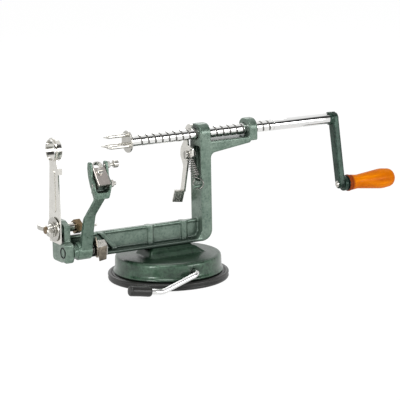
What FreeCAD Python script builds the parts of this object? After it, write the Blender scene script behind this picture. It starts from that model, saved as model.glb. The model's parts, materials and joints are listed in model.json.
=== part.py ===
import FreeCAD, Part
import Sketcher
import math
import os
import re

Vector = FreeCAD.Vector
# Driving dimensions, in millimetres and degrees. X runs along the shaft towards the crank, Z is up,
# and the table is Z 0.
SIZES = {
    # Lead screw
    "shaft_height": 119.8,
    "shaft_dia": 9.5,
    "running_gap": 0.08,
    "fit_gap": 0.02,
    "free_gap": 0.05,
    "thread_start": 2.1,
    "thread_right": 103.3,
    "thread_pitch": 6.5,
    "thread_depth": 0.75,
    "thread_width": 1.9,
    "thread_slope": 0.72,
    "neck_dia": 6.4,
    "sleeve_length": 56.85,
    "sleeve_gap": 0.15,

    # Frame casting
    "frame_half": 9.6,
    "flange_bottom": 29.5,
    "flange_thick": 2.8,
    "web_height": 18.3,
    "web_thick": 3.6,
    "rib_radius": 3.1,
    "rib_left": -17.8,
    "rib_right": 14.3,
    "column_left": 28.3,
    "column_thick": 9.9,
    "column_foot_round": 9.2,
    "foot_fillet": 7.0,
    "web_rim_high": 2.4,
    "web_rim_out": 0.7,
    "arch_rise": 8.8,
    "arch_round": 8.0,
    "arm_top_drop": 6.0,
    "arm_root_drop": 16.4,
    "arm_tip_drop": 11.0,
    "arm_fillet": 4.6,
    "ring_left": 76.0,
    "ring_thick": 7.8,
    "ring_drop": 9.5,
    "cast_edge": 0.9,
    "pocket_depth": 3.5,
    "pocket_lift": 3.2,
    "pocket_height": 30.0,
    "pocket_width": 10.4,
    "pocket_middle": -2.3,
    "pocket_round": 2.5,
    "frame_screw_radius": 2.0,
    "frame_screw_grip": 10.0,
    "screw_head_high": 2.4,

    # Left end of the frame
    "end_thick": 7.7,
    "end_right": -94.7,
    "end_drop": 2.0,
    "end_height": 16.0,
    "end_round": 3.2,
    "lug_inset": 2.0,
    "bolt_clear": 0.8,
    "bolt_dia": 6.0,
    "boss_radius": 8.3,
    "lug_round": 9.2,
    "lug_shoulder": 4.6,
    "lug_crown": 4.2,
    "strip_seat_radius": 7.2,
    "brace_start": 28.0,
    "brace_wide": 5.0,
    "brace_slant": 12.0,
    "brace_thick": 2.8,
    "far_boss_start": 21.5,
    "far_boss_length": 7.2,
    "far_boss_radius": 4.6,

    # Peeling arm. Its pivot lies along X at the frame's front lower edge.
    "pivot_y": -10.2,
    "pivot_rise": 6.8,
    "pivot_rod_dia": 6.0,
    "pivot_head_dia": 7.4,
    "pivot_head_thick": 0.9,
    "pivot_head_room": 0.6,
    "hub_start": 3.9,
    "hub_length": 12.3,
    "hub_radius": 7.4,
    "hub_gap": 0.5,
    "spring_room_radius": 6.2,
    "side_gap": 0.4,
    "arm_inset": 2.2,
    "arm_width": 9.6,
    "arm_edge": 0.5,
    "fork_overhang": 1.9,
    "fork_width": 16.2,
    "fork_wall": 2.2,
    "fork_rise": 48.2,
    "fork_floor_rise": 5.4,
    "fork_height": 29.7,
    "fork_step": 0.2,
    "head_front": -46.0,
    "head_deep": 6.0,
    "head_lean": 40.0,
    "cross_dia": 3.0,
    "cross_inset": 3.0,
    "cross_rise": 11.5,
    "depth_dia": 2.6,
    "depth_inset": 8.5,
    "depth_drop": 3.7,
    "cross_reach": 4.6,
    "depth_reach": 10.0,
    "depth_head_radius": 3.1,
    "depth_head_long": 4.4,
    "nut_wall": 1.5,
    "nut_thick": 2.3,
    "slot_half": 0.35,
    "arm_pin_radius": 1.0,
    "arm_pin_length": 5.0,
    "arm_pin_out": 10.4,
    "arm_pin_rise": 22.3,
    "arm_spring_wire": 0.8,
    "arm_spring_radius": 4.1,
    "arm_spring_pitch": 1.25,
    "arm_spring_turns": 2,
    "arm_spring_leg": 3.4,
    "latch_thick": 1.2,

    # Peeling blade and the plated channel that holds it
    "yoke_width": 11.2,
    "yoke_wall": 1.1,
    "yoke_deep": 8.5,
    "yoke_height": 16.0,
    "yoke_rise": 12.7,
    "yoke_round": 2.6,
    "yoke_ahead": 4.0,
    "yoke_screw_x": 5.0,
    "yoke_screw_z": 12.0,
    "blade_screw_radius": 1.3,
    "blade_width": 4.5,
    "blade_thick": 0.8,
    "blade_top": 22.3,
    "blade_bend": 3.9,

    # Suction base
    "dome_radius": 45.0,
    "dome_height": 15.2,
    "dome_foot": 6.4,
    "dome_wall": 2.4,
    "dome_round": 2.6,
    "dome_bead": 1.5,
    "pedestal_left": -21.5,
    "pedestal_beyond": 1.6,
    "pedestal_ledge": 2.0,
    "pedestal_inset": 2.4,
    "pedestal_flare": 3.0,
    "pedestal_ramp": 9.5,
    "pedestal_half": 11.0,
    "pedestal_gap": 0.02,
    "pedestal_wall": 2.5,
    "pedestal_round": 1.4,
    "post_radius": 4.6,
    "bearing_half": 4.5,
    "bearing_length": 6.0,
    "guide_half": 3.5,
    "guide_gap": 0.1,
    "rim_wide": 8.0,
    "rim_overlap": 2.0,
    "rim_rise": 0.2,
    "membrane_thick": 1.2,
    "membrane_lift": 4.0,
    "membrane_floor": 0.6,
    "stud_plate_radius": 14.0,
    "stud_plate_thick": 2.0,
    "stud_yoke_half": 2.5,
    "lever_rise": 7.8,
    "rod_end": 12.0,
    "cam_radius": 4.9,
    "cam_throw": 2.0,
    "cam_thick": 4.4,
    "cam_room": 0.75,
    "yoke_half": 8.8,
    "guide_thick": 1.4,
    "rod_dia": 4.5,
    "rod_reach": 7.6,
    "rod_low": 3.4,
    "rod_knee": -34.5,
    "grip_left": -64.8,
    "grip_lift": 9.5,
    "grip_length": 19.5,
    "grip_dia": 8.6,
    "grip_end": 1.0,
    "grip_round": 1.2,
    "clip_thick": 1.0,
    "clip_mouth": 2.4,

    # Fork that holds the fruit
    "fork_plate_left": -36.4,
    "fork_plate_radius": 9.25,
    "fork_plate_thick": 1.6,
    "plate_end": 0.3,
    "prong_taper": 5.0,
    "prong_length": 22.0,
    "prong_circle": 5.5,
    "prong_radius": 1.5,

    # Crank
    "crank_collar": 2.9,
    "crank_thick": 6.0,
    "crank_width": 8.2,
    "crank_radius": 57.5,
    "crank_tilt": 10.6,
    "crank_flare": 0.4,
    "crank_edge": 1.2,
    "crank_collar_dia": 11.4,
    "set_screw_radius": 1.5,
    "set_screw_length": 2.2,
    "crank_boss_dia": 13.0,
    "crank_boss_length": 2.6,
    "wood_length": 49.0,
    "wood_base_dia": 14.6,
    "wood_neck_dia": 12.0,
    "wood_dia": 17.2,
    "wood_end": 7.0,
    "handle_washer_thick": 0.7,
    "handle_pin_dia": 4.8,

    # Release lever
    "lever_ahead": 5.1,
    "lever_thick": 1.6,
    "lever_pivot_y": 6.0,
    "lever_drop": 18.3,
    "hook_gap": 0.3,
    "hook_width": 3.7,
    "tab_reach": 9.0,
    "tab_height": 11.5,
    "tab_lean": 24.0,
    "spring_wire": 0.9,
    "spring_dia": 7.2,
    "spring_turns": 9,
    "lever_screw_radius": 1.8,
    "screw_head_gap": 0.2,
    "lever_room": 0.25,
    "lever_boss_radius": 3.3,
    "hook_start": -38.0,
    "hook_stop": 108.0,
    "tooth_half": 0.4,
    "tab_ridges": 4,
    "ear_out": 7.8,
    "ear_rise": 5.4,
    "spring_top_ahead": 0.9,
    "spring_top_in": 0.2,
    "spring_top_drop": 7.5,
    "spring_low_back": 1.2,
    "spring_low_in": 0.6,
    "spring_low_rise": 8.2,
    "upper_loop_radius": 3.7,
    "lower_loop_radius": 4.4,
    "lower_loop_turn": 50.0,
    "lower_loop_back": 2.4,
    "lower_loop_out": 0.4,
    "lower_loop_rise": 2.2,
    "anchor_radius": 1.2,
    "anchor_reach": 7.0,
    "anchor_out": 14.2,
    "anchor_drop": 24.7,

    # Slicing blade
    "strip_gap": 0.8,
    "strip_thick": 1.0,
    "strip_half": 10.2,
    "strip_top_half": 7.5,
    "strip_lean": 1.4,
    "strip_drop": 11.4,
    "corer_radius": 9.0,
    "corer_wall": 0.8,
    "corer_length": 7.0,
    "corer_back": 1.8,
    "corer_seat": 1.2,
    "lip_length": 5.0,
    "lip_reach": 2.2,
    "bead_half": 3.2,
    "bead_rise": 0.45,
    "washer_thick": 1.1,
    "large_washer_dia": 20.0,
    "small_washer_dia": 12.0,
    "wing_hub_radius": 4.8,
    "wing_hub_length": 4.8,
    "wing_reach": 12.5,
    "wing_thick": 3.6,
    "wing_out": 6.6,
    "wing_tilt": 8.0,
    "spacer_length": 7.6,
    "spacer_radius": 3.7,
    "bolt_head_radius": 6.0,
    "bolt_head_height": 5.6,
}

# Places worked out from the sizes, so that what belongs together moves together
PLACES = {
    "thread_left": "fork_plate_left + thread_start",
    "sleeve_right": "thread_right + sleeve_gap + sleeve_length",
    "web_top": "flange_bottom + web_height",
    "end_left": "end_right - end_thick",
    "end_bottom": "flange_bottom - end_drop",
    "end_step": "end_bottom + end_height",
    "lug_left": "end_left + lug_inset",
    "bolt_height": "web_top + bolt_head_radius + bolt_clear",
    "brace_left": "end_right + brace_start",
    "far_boss_left": "end_right + far_boss_start",
    "pivot_z": "flange_bottom + pivot_rise",
    "hub_left": "end_right + hub_start",
    "arm_left": "hub_left + arm_inset",
    "fork_left": "arm_left - fork_overhang",
    "fork_base": "pivot_z + fork_rise",
    "fork_floor": "fork_base + fork_floor_rise",
    "fork_left_top": "fork_base + fork_height",
    "fork_right_top": "fork_left_top - fork_step",
    "cross_y": "head_front + cross_inset",
    "cross_z": "fork_base + cross_rise",
    "depth_y": "head_front + depth_inset",
    "depth_z": "fork_left_top - depth_drop",
    "arm_pin_y": "pivot_y - arm_pin_out",
    "arm_pin_z": "pivot_z + arm_pin_rise",
    "yoke_bottom": "fork_base + yoke_rise",
    "dome_top": "dome_foot + dome_height",
    "pedestal_right": "rib_right + post_radius + pedestal_beyond",
    "rim_inner": "dome_radius - rim_overlap",
    "rim_radius": "rim_inner + rim_wide",
    "rim_height": "dome_foot + rim_rise",
    "lever_height": "dome_foot + lever_rise",
    "lever_left": "column_left - lever_ahead",
    "lever_pivot_z": "shaft_height - lever_drop",
    "ear_y": "lever_pivot_y - ear_out",
    "ear_z": "lever_pivot_z + ear_rise",
    "anchor_left": "column_left - anchor_reach",
    "anchor_y": "lever_pivot_y - anchor_out",
    "anchor_z": "lever_pivot_z - anchor_drop",
    "pocket_bottom": "anchor_z + pocket_lift",
    "spring_top_x": "lever_left - spring_top_ahead",
    "spring_top_y": "ear_y + spring_top_in",
    "spring_top_z": "ear_z - spring_top_drop",
    "spring_low_x": "lever_left + spring_low_back",
    "spring_low_y": "anchor_y + spring_low_in",
    "spring_low_z": "anchor_z + spring_low_rise",
    "lower_loop_x": "lever_left + lower_loop_back",
    "lower_loop_y": "anchor_y - lower_loop_out",
    "lower_loop_z": "anchor_z + lower_loop_rise",
    "strip_edge": "strip_top_half + strip_lean",
    "strip_right": "end_left - strip_gap",
    "strip_bottom": "bolt_height - strip_drop",
}

doc = FreeCAD.newDocument("apple_peeler")
sheet = doc.addObject("Spreadsheet::Sheet", "sizes")
for row, (name, value) in enumerate(SIZES.items(), 1):
    sheet.set("A%d" % row, name)
    sheet.set("B%d" % row, repr(value))
    sheet.setAlias("B%d" % row, name)
doc.recompute()


def bound(text):
    """An expression with its sizes pointed at their cells and its places written out."""
    def cell(match):
        word = match.group()
        if word in PLACES:
            return "(%s)" % bound(PLACES[word])
        return "sizes." + word if word in SIZES else word

    return re.sub(r"[a-z][a-z_]*", cell, str(text))


def num(text):
    """The value of an expression, as a plain number."""
    return float(sheet.evalExpression(bound(text)))


def bind(thing, prop, text):
    thing.setExpression(prop, bound(text))


def place(thing, x, y, z):
    bind(thing, "Placement.Base.x", x)
    bind(thing, "Placement.Base.y", y)
    bind(thing, "Placement.Base.z", z)


def box(name, x0, x1, y0, y1, z0, z1):
    """A block between two corners, each given as an expression."""
    thing = doc.addObject("Part::Box", name)
    bind(thing, "Length", "(%s) - (%s)" % (x1, x0))
    bind(thing, "Width", "(%s) - (%s)" % (y1, y0))
    bind(thing, "Height", "(%s) - (%s)" % (z1, z0))
    place(thing, x0, y0, z0)
    return thing


TURN = {
    "X": FreeCAD.Rotation(Vector(0, 1, 0), 90),
    "Y": FreeCAD.Rotation(Vector(1, 0, 0), -90),
    "Z": FreeCAD.Rotation(),
}


def rod(name, axis, radius, length, x, y, z):
    """A cylinder that starts at a point and runs along one axis."""
    thing = doc.addObject("Part::Cylinder", name)
    bind(thing, "Radius", radius)
    bind(thing, "Height", length)
    thing.Placement = FreeCAD.Placement(Vector(), TURN[axis])
    place(thing, x, y, z)
    return thing


def hexagon(name, radius, length, x, y, z):
    """A six sided prism along X."""
    thing = doc.addObject("Part::Prism", name)
    thing.Polygon = 6
    bind(thing, "Circumradius", radius)
    bind(thing, "Height", length)
    thing.Placement = FreeCAD.Placement(Vector(), TURN["X"])
    place(thing, x, y, z)
    return thing


def fuse(name, things):
    result = doc.addObject("Part::MultiFuse", name)
    result.Shapes = things
    result.Refine = True
    return result


def common(name, things):
    result = doc.addObject("Part::MultiCommon", name)
    result.Shapes = things
    return result


def cut(name, base, tool):
    result = doc.addObject("Part::Cut", name)
    result.Base = base
    result.Tool = tool
    result.Refine = True
    return result


def rounded(corners):
    """Lines and arcs of a closed outline whose corners are (u, v, radius) expressions."""
    points = [Vector(num(u), num(v), 0) for u, v, r in corners]
    radii = [num(r) for u, v, r in corners]
    count = len(points)
    ends = []
    for i in range(count):
        before = (points[i - 1] - points[i]).normalize()
        after = (points[(i + 1) % count] - points[i]).normalize()
        half = before.getAngle(after) / 2
        reach = radii[i] / math.tan(half) if radii[i] else 0.0
        ends.append((points[i] + before * reach, points[i] + after * reach, half, before, after))
    return points, radii, ends


def outline(sketch, corners):
    """Draw the outline with its corners and radii bound to the sheet."""
    points, radii, ends = rounded(corners)
    count = len(points)
    lines = []
    for i in range(count):
        start = ends[i][1]
        stop = ends[(i + 1) % count][0]
        lines.append(sketch.addGeometry(Part.LineSegment(start, stop), False))
    for i in range(count):
        u, v, radius = corners[i]
        before, after = lines[i - 1], lines[i]
        if not radii[i]:
            sketch.addConstraint(Sketcher.Constraint("Coincident", before, 2, after, 1))
            pin_point(sketch, after, 1, u, v)
            continue
        into, out, half, back, ahead = ends[i]
        centre = points[i] + (back + ahead).normalize() * (radii[i] / math.sin(half))
        clockwise = (into - centre).cross(out - centre).z < 0
        limits = (out, into) if clockwise else (into, out)
        spans = [math.atan2(end.y - centre.y, end.x - centre.x) for end in limits]
        circle = Part.Circle(centre, Vector(0, 0, 1), radii[i])
        arc = sketch.addGeometry(Part.ArcOfCircle(circle, *spans), False)
        first, last = (2, 1) if clockwise else (1, 2)
        sketch.addConstraint(Sketcher.Constraint("Tangent", before, 2, arc, first))
        sketch.addConstraint(Sketcher.Constraint("Tangent", arc, last, after, 1))
        number = sketch.addConstraint(Sketcher.Constraint("Radius", arc, radii[i]))
        sketch.setExpression("Constraints[%d]" % number, bound(radius))
        corner = sketch.addGeometry(Part.Point(points[i]), True)
        sketch.addConstraint(Sketcher.Constraint("PointOnObject", corner, 1, before))
        sketch.addConstraint(Sketcher.Constraint("PointOnObject", corner, 1, after))
        pin_point(sketch, corner, 1, u, v)


def pin_point(sketch, geometry, end, u, v):
    """Hold one point of a sketch at two expressions."""
    for kind, text in (("DistanceX", u), ("DistanceY", v)):
        number = sketch.addConstraint(Sketcher.Constraint(kind, geometry, end, num(text)))
        sketch.setExpression("Constraints[%d]" % number, bound(text))


PLANES = {"X": "YZ_Plane", "Y": "XZ_Plane", "Z": "XY_Plane"}


def new_sketch(body, normal, corners, shift=("0", "0", "0")):
    """A sketch on one origin plane of a body, moved in the plane's own axes."""
    sketch = body.newObject("Sketcher::SketchObject", body.Name + "_sketch")
    role = PLANES[normal]
    plane = [item for item in body.Origin.OriginFeatures if item.Role == role][0]
    sketch.AttachmentSupport = (plane, [""])
    sketch.MapMode = "FlatFace"
    for letter, text in zip("xyz", shift):
        bind(sketch, "AttachmentOffset.Base." + letter, text)
    outline(sketch, corners)
    return sketch


def slab(name, normal, start, length, corners):
    """An outline given some length along its normal, from the lower coordinate."""
    body = doc.addObject("PartDesign::Body", name)
    offset = "-((%s) + (%s))" % (start, length) if normal == "Y" else start
    sketch = new_sketch(body, normal, corners, ("0", "0", offset))
    pad = body.newObject("PartDesign::Pad", name + "_pad")
    pad.Profile = sketch
    bind(pad, "Length", length)
    sketch.Visibility = False
    body.Tip = pad
    return body


def turned(name, axis, corners, centre=("0", "0")):
    """A piece turned about one axis. Corners are (along, radius), or (radius, along) about Z."""
    body = doc.addObject("PartDesign::Body", name)
    one, two = centre
    if axis == "X":
        sketch = new_sketch(body, "Y", corners, ("0", two, "-(%s)" % one))
        line = "H_Axis"
    elif axis == "Y":
        sketch = new_sketch(body, "X", corners, ("0", two, one))
        line = "H_Axis"
    else:
        sketch = new_sketch(body, "Y", corners, (one, "0", "-(%s)" % two))
        line = "V_Axis"
    turn = body.newObject("PartDesign::Revolution", name + "_turn")
    turn.Profile = sketch
    turn.ReferenceAxis = (sketch, [line])
    turn.Angle = 360
    body.Tip = turn
    return body


def soften(name, base, radius, chosen):
    """Round the edges of a shape that a rule picks."""
    doc.recompute()
    result = doc.addObject("Part::Fillet", name)
    result.Base = base
    r = num(radius)
    result.Edges = [(i + 1, r, r) for i, edge in enumerate(base.Shape.Edges) if chosen(edge)]
    return result


def feature(name, shape):
    """A shape made by a formula."""
    result = doc.addObject("Part::Feature", name)
    result.Shape = shape
    return result


kept = []


def keep(thing, label):
    thing.Label = label
    kept.append(thing)
    return thing


SHAFT = ("0", "shaft_height")
PIVOT = ("pivot_y", "pivot_z")


def frame_casting():
    """One green casting: web and flanges, column, rear arm and ring, left end, lugs."""
    half, low = "frame_half", "flange_bottom"
    right = "(column_left + column_thick)"
    arch_top = "(shaft_height + arch_rise)"
    upright = slab("upright_side", "Y", "-" + half, "2 * " + half, [
        ("column_left", low, 0),
        (right, low, "column_foot_round"),
        (right, "shaft_height - arm_root_drop", "arm_fillet"),
        ("ring_left + 0.6", "shaft_height - arm_tip_drop", 1.2),
        ("ring_left + 1.4", "shaft_height - ring_drop", 0.6),
        ("ring_left + ring_thick", "shaft_height - ring_drop", 1.2),
        ("ring_left + ring_thick", arch_top, 0),
        ("ring_left", arch_top, 0),
        ("ring_left", "shaft_height - arm_top_drop", 1.5),
        (right, "shaft_height - arm_top_drop", 0.8),
        (right, arch_top, 0),
        ("column_left", arch_top, 0),
    ])
    front = slab("upright_front", "X", "column_left - 1", "ring_left + ring_thick + 2 - column_left", [
        ("-" + half, low, 0),
        (half, low, 0),
        (half, arch_top, "arch_round"),
        ("-" + half, arch_top, "arch_round"),
    ])
    upright = common("upright", [upright, front])
    upright = soften("upright_soft", upright, "cast_edge", upright_edge)
    flange = slab("flange", "X", "end_right - 1", "column_left + 3 - end_right", [
        ("-" + half, low, 0.5),
        (half, low, 0.5),
        (half, low + " + flange_thick", 0.9),
        ("-" + half, low + " + flange_thick", 0.9),
    ])
    web = slab("web", "X", "end_right - 1", "column_left + 2 - end_right", [
        ("-web_thick / 2", low + " + 0.5", 0),
        ("web_thick / 2", low + " + 0.5", 0),
        ("web_thick / 2", "web_top", "web_thick * 0.35"),
        ("-web_thick / 2", "web_top", "web_thick * 0.35"),
    ])
    rim = slab("web_rim", "X", "end_right - 1", "column_left + 2 - end_right", [
        ("-web_thick / 2 - web_rim_out", "web_top - web_rim_high", 0.6),
        ("web_thick / 2 + web_rim_out", "web_top - web_rim_high", 0.6),
        ("web_thick / 2 + web_rim_out", "web_top", 1.1),
        ("-web_thick / 2 - web_rim_out", "web_top", 1.1),
    ])
    deck = low + " + flange_thick"
    foot = slab("column_foot", "Y", "0.3 - " + half, "2 * %s - 0.6" % half, [
        ("column_left - foot_fillet - 0.6", deck + " - 1", 0),
        ("column_left + 1", deck + " - 1", 0),
        ("column_left + 1", deck + " + foot_fillet + 0.6", 0),
        ("column_left", deck + " + foot_fillet + 0.6", 0),
        ("column_left", deck, "foot_fillet"),
        ("column_left - foot_fillet - 0.6", deck, 0),
    ])
    pieces = [upright, flange, web, rim, foot]
    for side in (-1, 1):
        for spot in ("rib_left", "rib_right"):
            name = "rib_%s_%s" % (spot[4:], "front" if side < 0 else "back")
            pieces.append(rod(name, "Z", "rib_radius", "web_top - 1.2 - " + low, spot,
                              "%d * web_thick / 2" % side, low + " + 1"))
    for side in ("front", "back"):
        start = "web_thick / 2 - 0.4" if side == "back" else "0.4 - web_thick / 2 - brace_thick"
        pieces.append(slab("brace_" + side, "Y", start, "brace_thick", [
            ("brace_left", "web_top - 0.6", 0),
            ("brace_left + brace_wide", "web_top - 0.6", 0),
            ("brace_left + brace_slant + brace_wide", low + " + flange_thick + 1", 0),
            ("brace_left + brace_slant", low + " + flange_thick + 1", 0),
        ]))
    pieces.append(slab("end_lower", "X", "end_left", "end_right - end_left", [
        ("-" + half, "end_bottom", "end_round"),
        (half, "end_bottom", "end_round"),
        (half, "end_step", 1),
        ("-" + half, "end_step", 1),
    ]))
    pieces.append(slab("end_upper", "X", "lug_left", "end_right - lug_left", [
        ("-" + half, "end_bottom + 3", 0),
        (half, "end_bottom + 3", 0),
        (half, "bolt_height + lug_shoulder", 1),
        ("lug_crown", "bolt_height + lug_round", 4),
        ("-lug_crown", "bolt_height + lug_round", 4),
        ("-" + half, "bolt_height + lug_shoulder", 1),
    ]))
    pieces.append(rod("strip_seat", "X", "strip_seat_radius", "lug_left - strip_right + 1",
                      "strip_right + free_gap", "0", "bolt_height"))
    boss = turned("pivot_boss", "X", [
        ("end_left", "0", 0),
        ("end_left", "boss_radius", 0.8),
        ("end_right", "boss_radius", 0.8),
        ("end_right", "0", 0),
    ], PIVOT)
    pieces.append(boss)
    pieces.append(rod("far_boss", "X", "far_boss_radius", "far_boss_length", "far_boss_left", *PIVOT))
    pieces.append(rod("lever_boss", "X", "lever_boss_radius",
                      "column_left - lever_left - lever_thick - lever_room + 1",
                      "lever_left + lever_thick + lever_room", "lever_pivot_y", "lever_pivot_z"))
    body = fuse("frame_blank", pieces)
    tools = [
        rod("shaft_bore", "X", "shaft_dia / 2 + running_gap", "ring_left + ring_thick + 6 - column_left",
            "column_left - 3", *SHAFT),
        rod("bolt_bore", "X", "bolt_dia / 2 + fit_gap", "14", "end_left - 4", "0", "bolt_height"),
        rod("rod_bore", "X", "pivot_rod_dia / 2 + fit_gap", "60", "end_left - 1", *PIVOT),
        rod("head_room", "X", "pivot_head_dia / 2 + pivot_head_room", "pivot_head_thick + 1",
            "end_left - 1", *PIVOT),
        rod("hub_room", "X", "hub_radius + hub_gap", "hub_length + 2 * side_gap",
            "hub_left - side_gap", *PIVOT),
        rod("spring_room", "X", "spring_room_radius", "far_boss_left - hub_left - hub_length",
            "hub_left + hub_length - 0.01", *PIVOT),
        slab("pocket", "X", "column_left - 1", "pocket_depth + 1", [
            ("pocket_middle - pocket_width / 2", "pocket_bottom", "pocket_round"),
            ("pocket_middle + pocket_width / 2", "pocket_bottom", "pocket_round"),
            ("pocket_middle + pocket_width / 2", "pocket_bottom + pocket_height", "pocket_round"),
            ("pocket_middle - pocket_width / 2", "pocket_bottom + pocket_height", "pocket_round"),
        ]),
        rod("pivot_screw_hole", "X", "lever_screw_radius + fit_gap", "8", "lever_left + lever_thick",
            "lever_pivot_y", "lever_pivot_z"),
        rod("anchor_hole", "X", "anchor_radius + fit_gap", "6", "column_left - 1", "anchor_y", "anchor_z"),
    ]
    for spot in ("rib_left", "rib_right"):
        tools.append(rod("hole_" + spot, "Z", "frame_screw_radius + fit_gap", "frame_screw_grip + 1", spot,
                         "0", low + " - 1"))
    tool = fuse("frame_tools", tools)
    return keep(cut("frame_cut", body, tool), "frame_casting")


def upright_edge(edge):
    """Long edges of the upright's front and back faces, and round its arched tops."""
    limits = edge.BoundBox
    top = num("shaft_height - arm_top_drop") + 1
    on_face = limits.YLength < 1e-4 and abs(abs(limits.YMin) - num("frame_half")) < 1e-4
    over = limits.ZMin > top and limits.XLength < 1e-4
    return (on_face and limits.ZMax > num("flange_bottom + flange_thick") + 1) or over


def base_dome():
    """The hollow cast foot with its pedestal, screw posts, rod bearing and guides for the stud."""
    shell = turned("dome_shell", "Z", [
        ("dome_radius + dome_bead", "dome_foot", 0.5),
        ("dome_radius + dome_bead", "dome_foot + 2", 0.8),
        ("dome_radius", "dome_foot + 3.2", 2),
        ("dome_radius - 0.4", "dome_top", "dome_round"),
        ("0", "dome_top", 0),
        ("0", "dome_top - dome_wall", 0),
        ("dome_radius - dome_wall", "dome_top - dome_wall", "dome_round"),
        ("dome_radius - dome_wall", "dome_foot", 0),
    ])
    top = "flange_bottom - pedestal_gap"
    ledge = top + " - pedestal_ledge"
    long_side = slab("pedestal_side", "Y", "-dome_radius / 2", "dome_radius", [
        ("pedestal_left - pedestal_flare", "dome_top - 0.5", 0),
        ("pedestal_left", ledge, 0),
        ("pedestal_right", ledge, 0),
        ("pedestal_right + pedestal_ramp", "dome_top - 0.5", 0),
    ])
    short_side = slab("pedestal_end", "X", "-dome_radius", "2 * dome_radius", [
        ("-pedestal_half - pedestal_flare", "dome_top - 0.5", 0),
        ("pedestal_half + pedestal_flare", "dome_top - 0.5", 0),
        ("pedestal_half", ledge, 0),
        ("-pedestal_half", ledge, 0),
    ])
    neck = box("pedestal_neck", "pedestal_left + pedestal_inset", "pedestal_right - pedestal_inset",
               "pedestal_inset - pedestal_half", "pedestal_half - pedestal_inset", ledge + " - 1", top)
    pedestal = soften("pedestal_soft", common("pedestal", [long_side, short_side]), "pedestal_round",
                      pedestal_edge)
    solid = fuse("dome_blank", [shell, pedestal, neck])
    deep = top + " - pedestal_wall - dome_top + dome_wall + 0.5"
    room = slab("pedestal_room", "Z", "dome_top - dome_wall - 1", deep, [
        ("pedestal_left + pedestal_wall", "-pedestal_half + pedestal_wall", 2),
        ("pedestal_right - pedestal_wall", "-pedestal_half + pedestal_wall", 2),
        ("pedestal_right - pedestal_wall", "pedestal_half - pedestal_wall", 2),
        ("pedestal_left + pedestal_wall", "pedestal_half - pedestal_wall", 2),
    ])
    posts = [rod("post_" + spot, "Z", "post_radius", "14", spot, "0", "dome_top - dome_wall - 1.5")
             for spot in ("rib_left", "rib_right")]
    hollow = cut("dome_hollow", solid, cut("room_round_posts", room, fuse("posts", posts)))
    bearing = box("rod_bearing", "-bearing_half", "bearing_half", "rod_end - 1 - bearing_length",
                  "rod_end - 1", "lever_height - bearing_half", "dome_top - 1")
    pieces = [hollow, bearing]
    inner = "(yoke_half + guide_gap)"
    outer = "(yoke_half + guide_gap + guide_thick)"
    for word, start, stop in (("left", "-" + outer, "-" + inner), ("right", inner, outer)):
        pieces.append(box("guide_" + word, start, stop, "-guide_half", "guide_half", "lever_height - 2",
                          top + " - pedestal_wall"))
    tools = [
        rod("rod_hole", "Y", "rod_dia / 2 + running_gap", "dome_radius + rod_end + 2", "0",
            "-dome_radius - 3", "lever_height"),
        rod("rod_recess", "Y", "rod_dia / 2 + 1.6", "3.4", "0", "-dome_radius - 3", "lever_height"),
    ]
    for spot in ("rib_left", "rib_right"):
        tools.append(rod("through_" + spot, "Z", "frame_screw_radius + 0.2", "20", spot, "0", "dome_top - 8"))
    return keep(cut("dome_cut", fuse("dome_solid", pieces), fuse("dome_tools", tools)), "base_dome")


def pedestal_edge(edge):
    """Every edge of the pedestal but those sunk in the dome."""
    return edge.BoundBox.ZMax > num("dome_top")


def suction_pad():
    """The rubber foot: a grooved rim on the table, and a thin middle that the stud lifts."""
    rim = turned("rim_turn", "Z", [
        ("rim_inner", "0.4", 0.2),
        ("rim_inner + 1.5", "0", 0.4),
        ("rim_radius - 1.6", "0", 0.6),
        ("rim_radius - 0.2", "1.4", 0.8),
        ("rim_radius - 0.1", "2.9", 0.5),
        ("rim_radius - 1", "3.3", 0.25),
        ("rim_radius - 0.9", "3.9", 0.25),
        ("rim_radius", "4.2", 0.5),
        ("rim_radius", "rim_height", 1.0),
        ("rim_radius - 2.6", "rim_height", 0.6),
        ("dome_radius + dome_bead + 0.6", "dome_foot - 1.6", 0.5),
        ("rim_inner", "dome_foot - 1.6", 0),
    ])
    lip = turned("rim_seat", "Z", [
        ("rim_inner", "dome_foot - 2", 0),
        ("dome_radius + dome_bead - 0.4", "dome_foot - 2", 0),
        ("dome_radius + dome_bead - 0.4", "dome_foot - fit_gap", 0),
        ("rim_inner", "dome_foot - fit_gap", 0),
    ])
    keep(fuse("pad_rim_solid", [rim, lip]), "pad_rim")
    under = "membrane_floor + membrane_lift"
    over = under + " + membrane_thick"
    keep(turned("membrane_turn", "Z", [
        ("0", under, 0),
        ("stud_plate_radius + 2", under, 3),
        ("rim_inner - 3", "membrane_floor", 6),
        ("rim_inner - free_gap", "membrane_floor", 0),
        ("rim_inner - free_gap", "membrane_floor + membrane_thick", 0),
        ("rim_inner - 3.4", "membrane_floor + membrane_thick", 6),
        ("stud_plate_radius + 1.6", over, 3),
        ("0", over, 0),
    ]), "pad_membrane")
    floor = over + " + free_gap"
    plate = turned("stud_plate", "Z", [
        ("0", floor, 0),
        ("stud_plate_radius", floor, 0.5),
        ("stud_plate_radius", floor + " + stud_plate_thick", 0.5),
        ("0", floor + " + stud_plate_thick", 0),
    ])
    cam_centre = "lever_height + cam_throw"
    slot_half = "(cam_radius + cam_throw + 0.3)"
    slot_top = "(%s + cam_radius + cam_room)" % cam_centre
    yoke = box("stud_yoke", "-yoke_half", "yoke_half", "-stud_yoke_half", "stud_yoke_half", floor + " + 1",
               slot_top + " + 1.5")
    slot = box("stud_slot", "-" + slot_half, slot_half, "-stud_yoke_half - 0.5", "stud_yoke_half + 0.5",
               cam_centre + " - cam_radius - cam_room", slot_top)
    keep(cut("stud_cut", fuse("stud_solid", [plate, yoke]), slot), "pad_stud")


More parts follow.
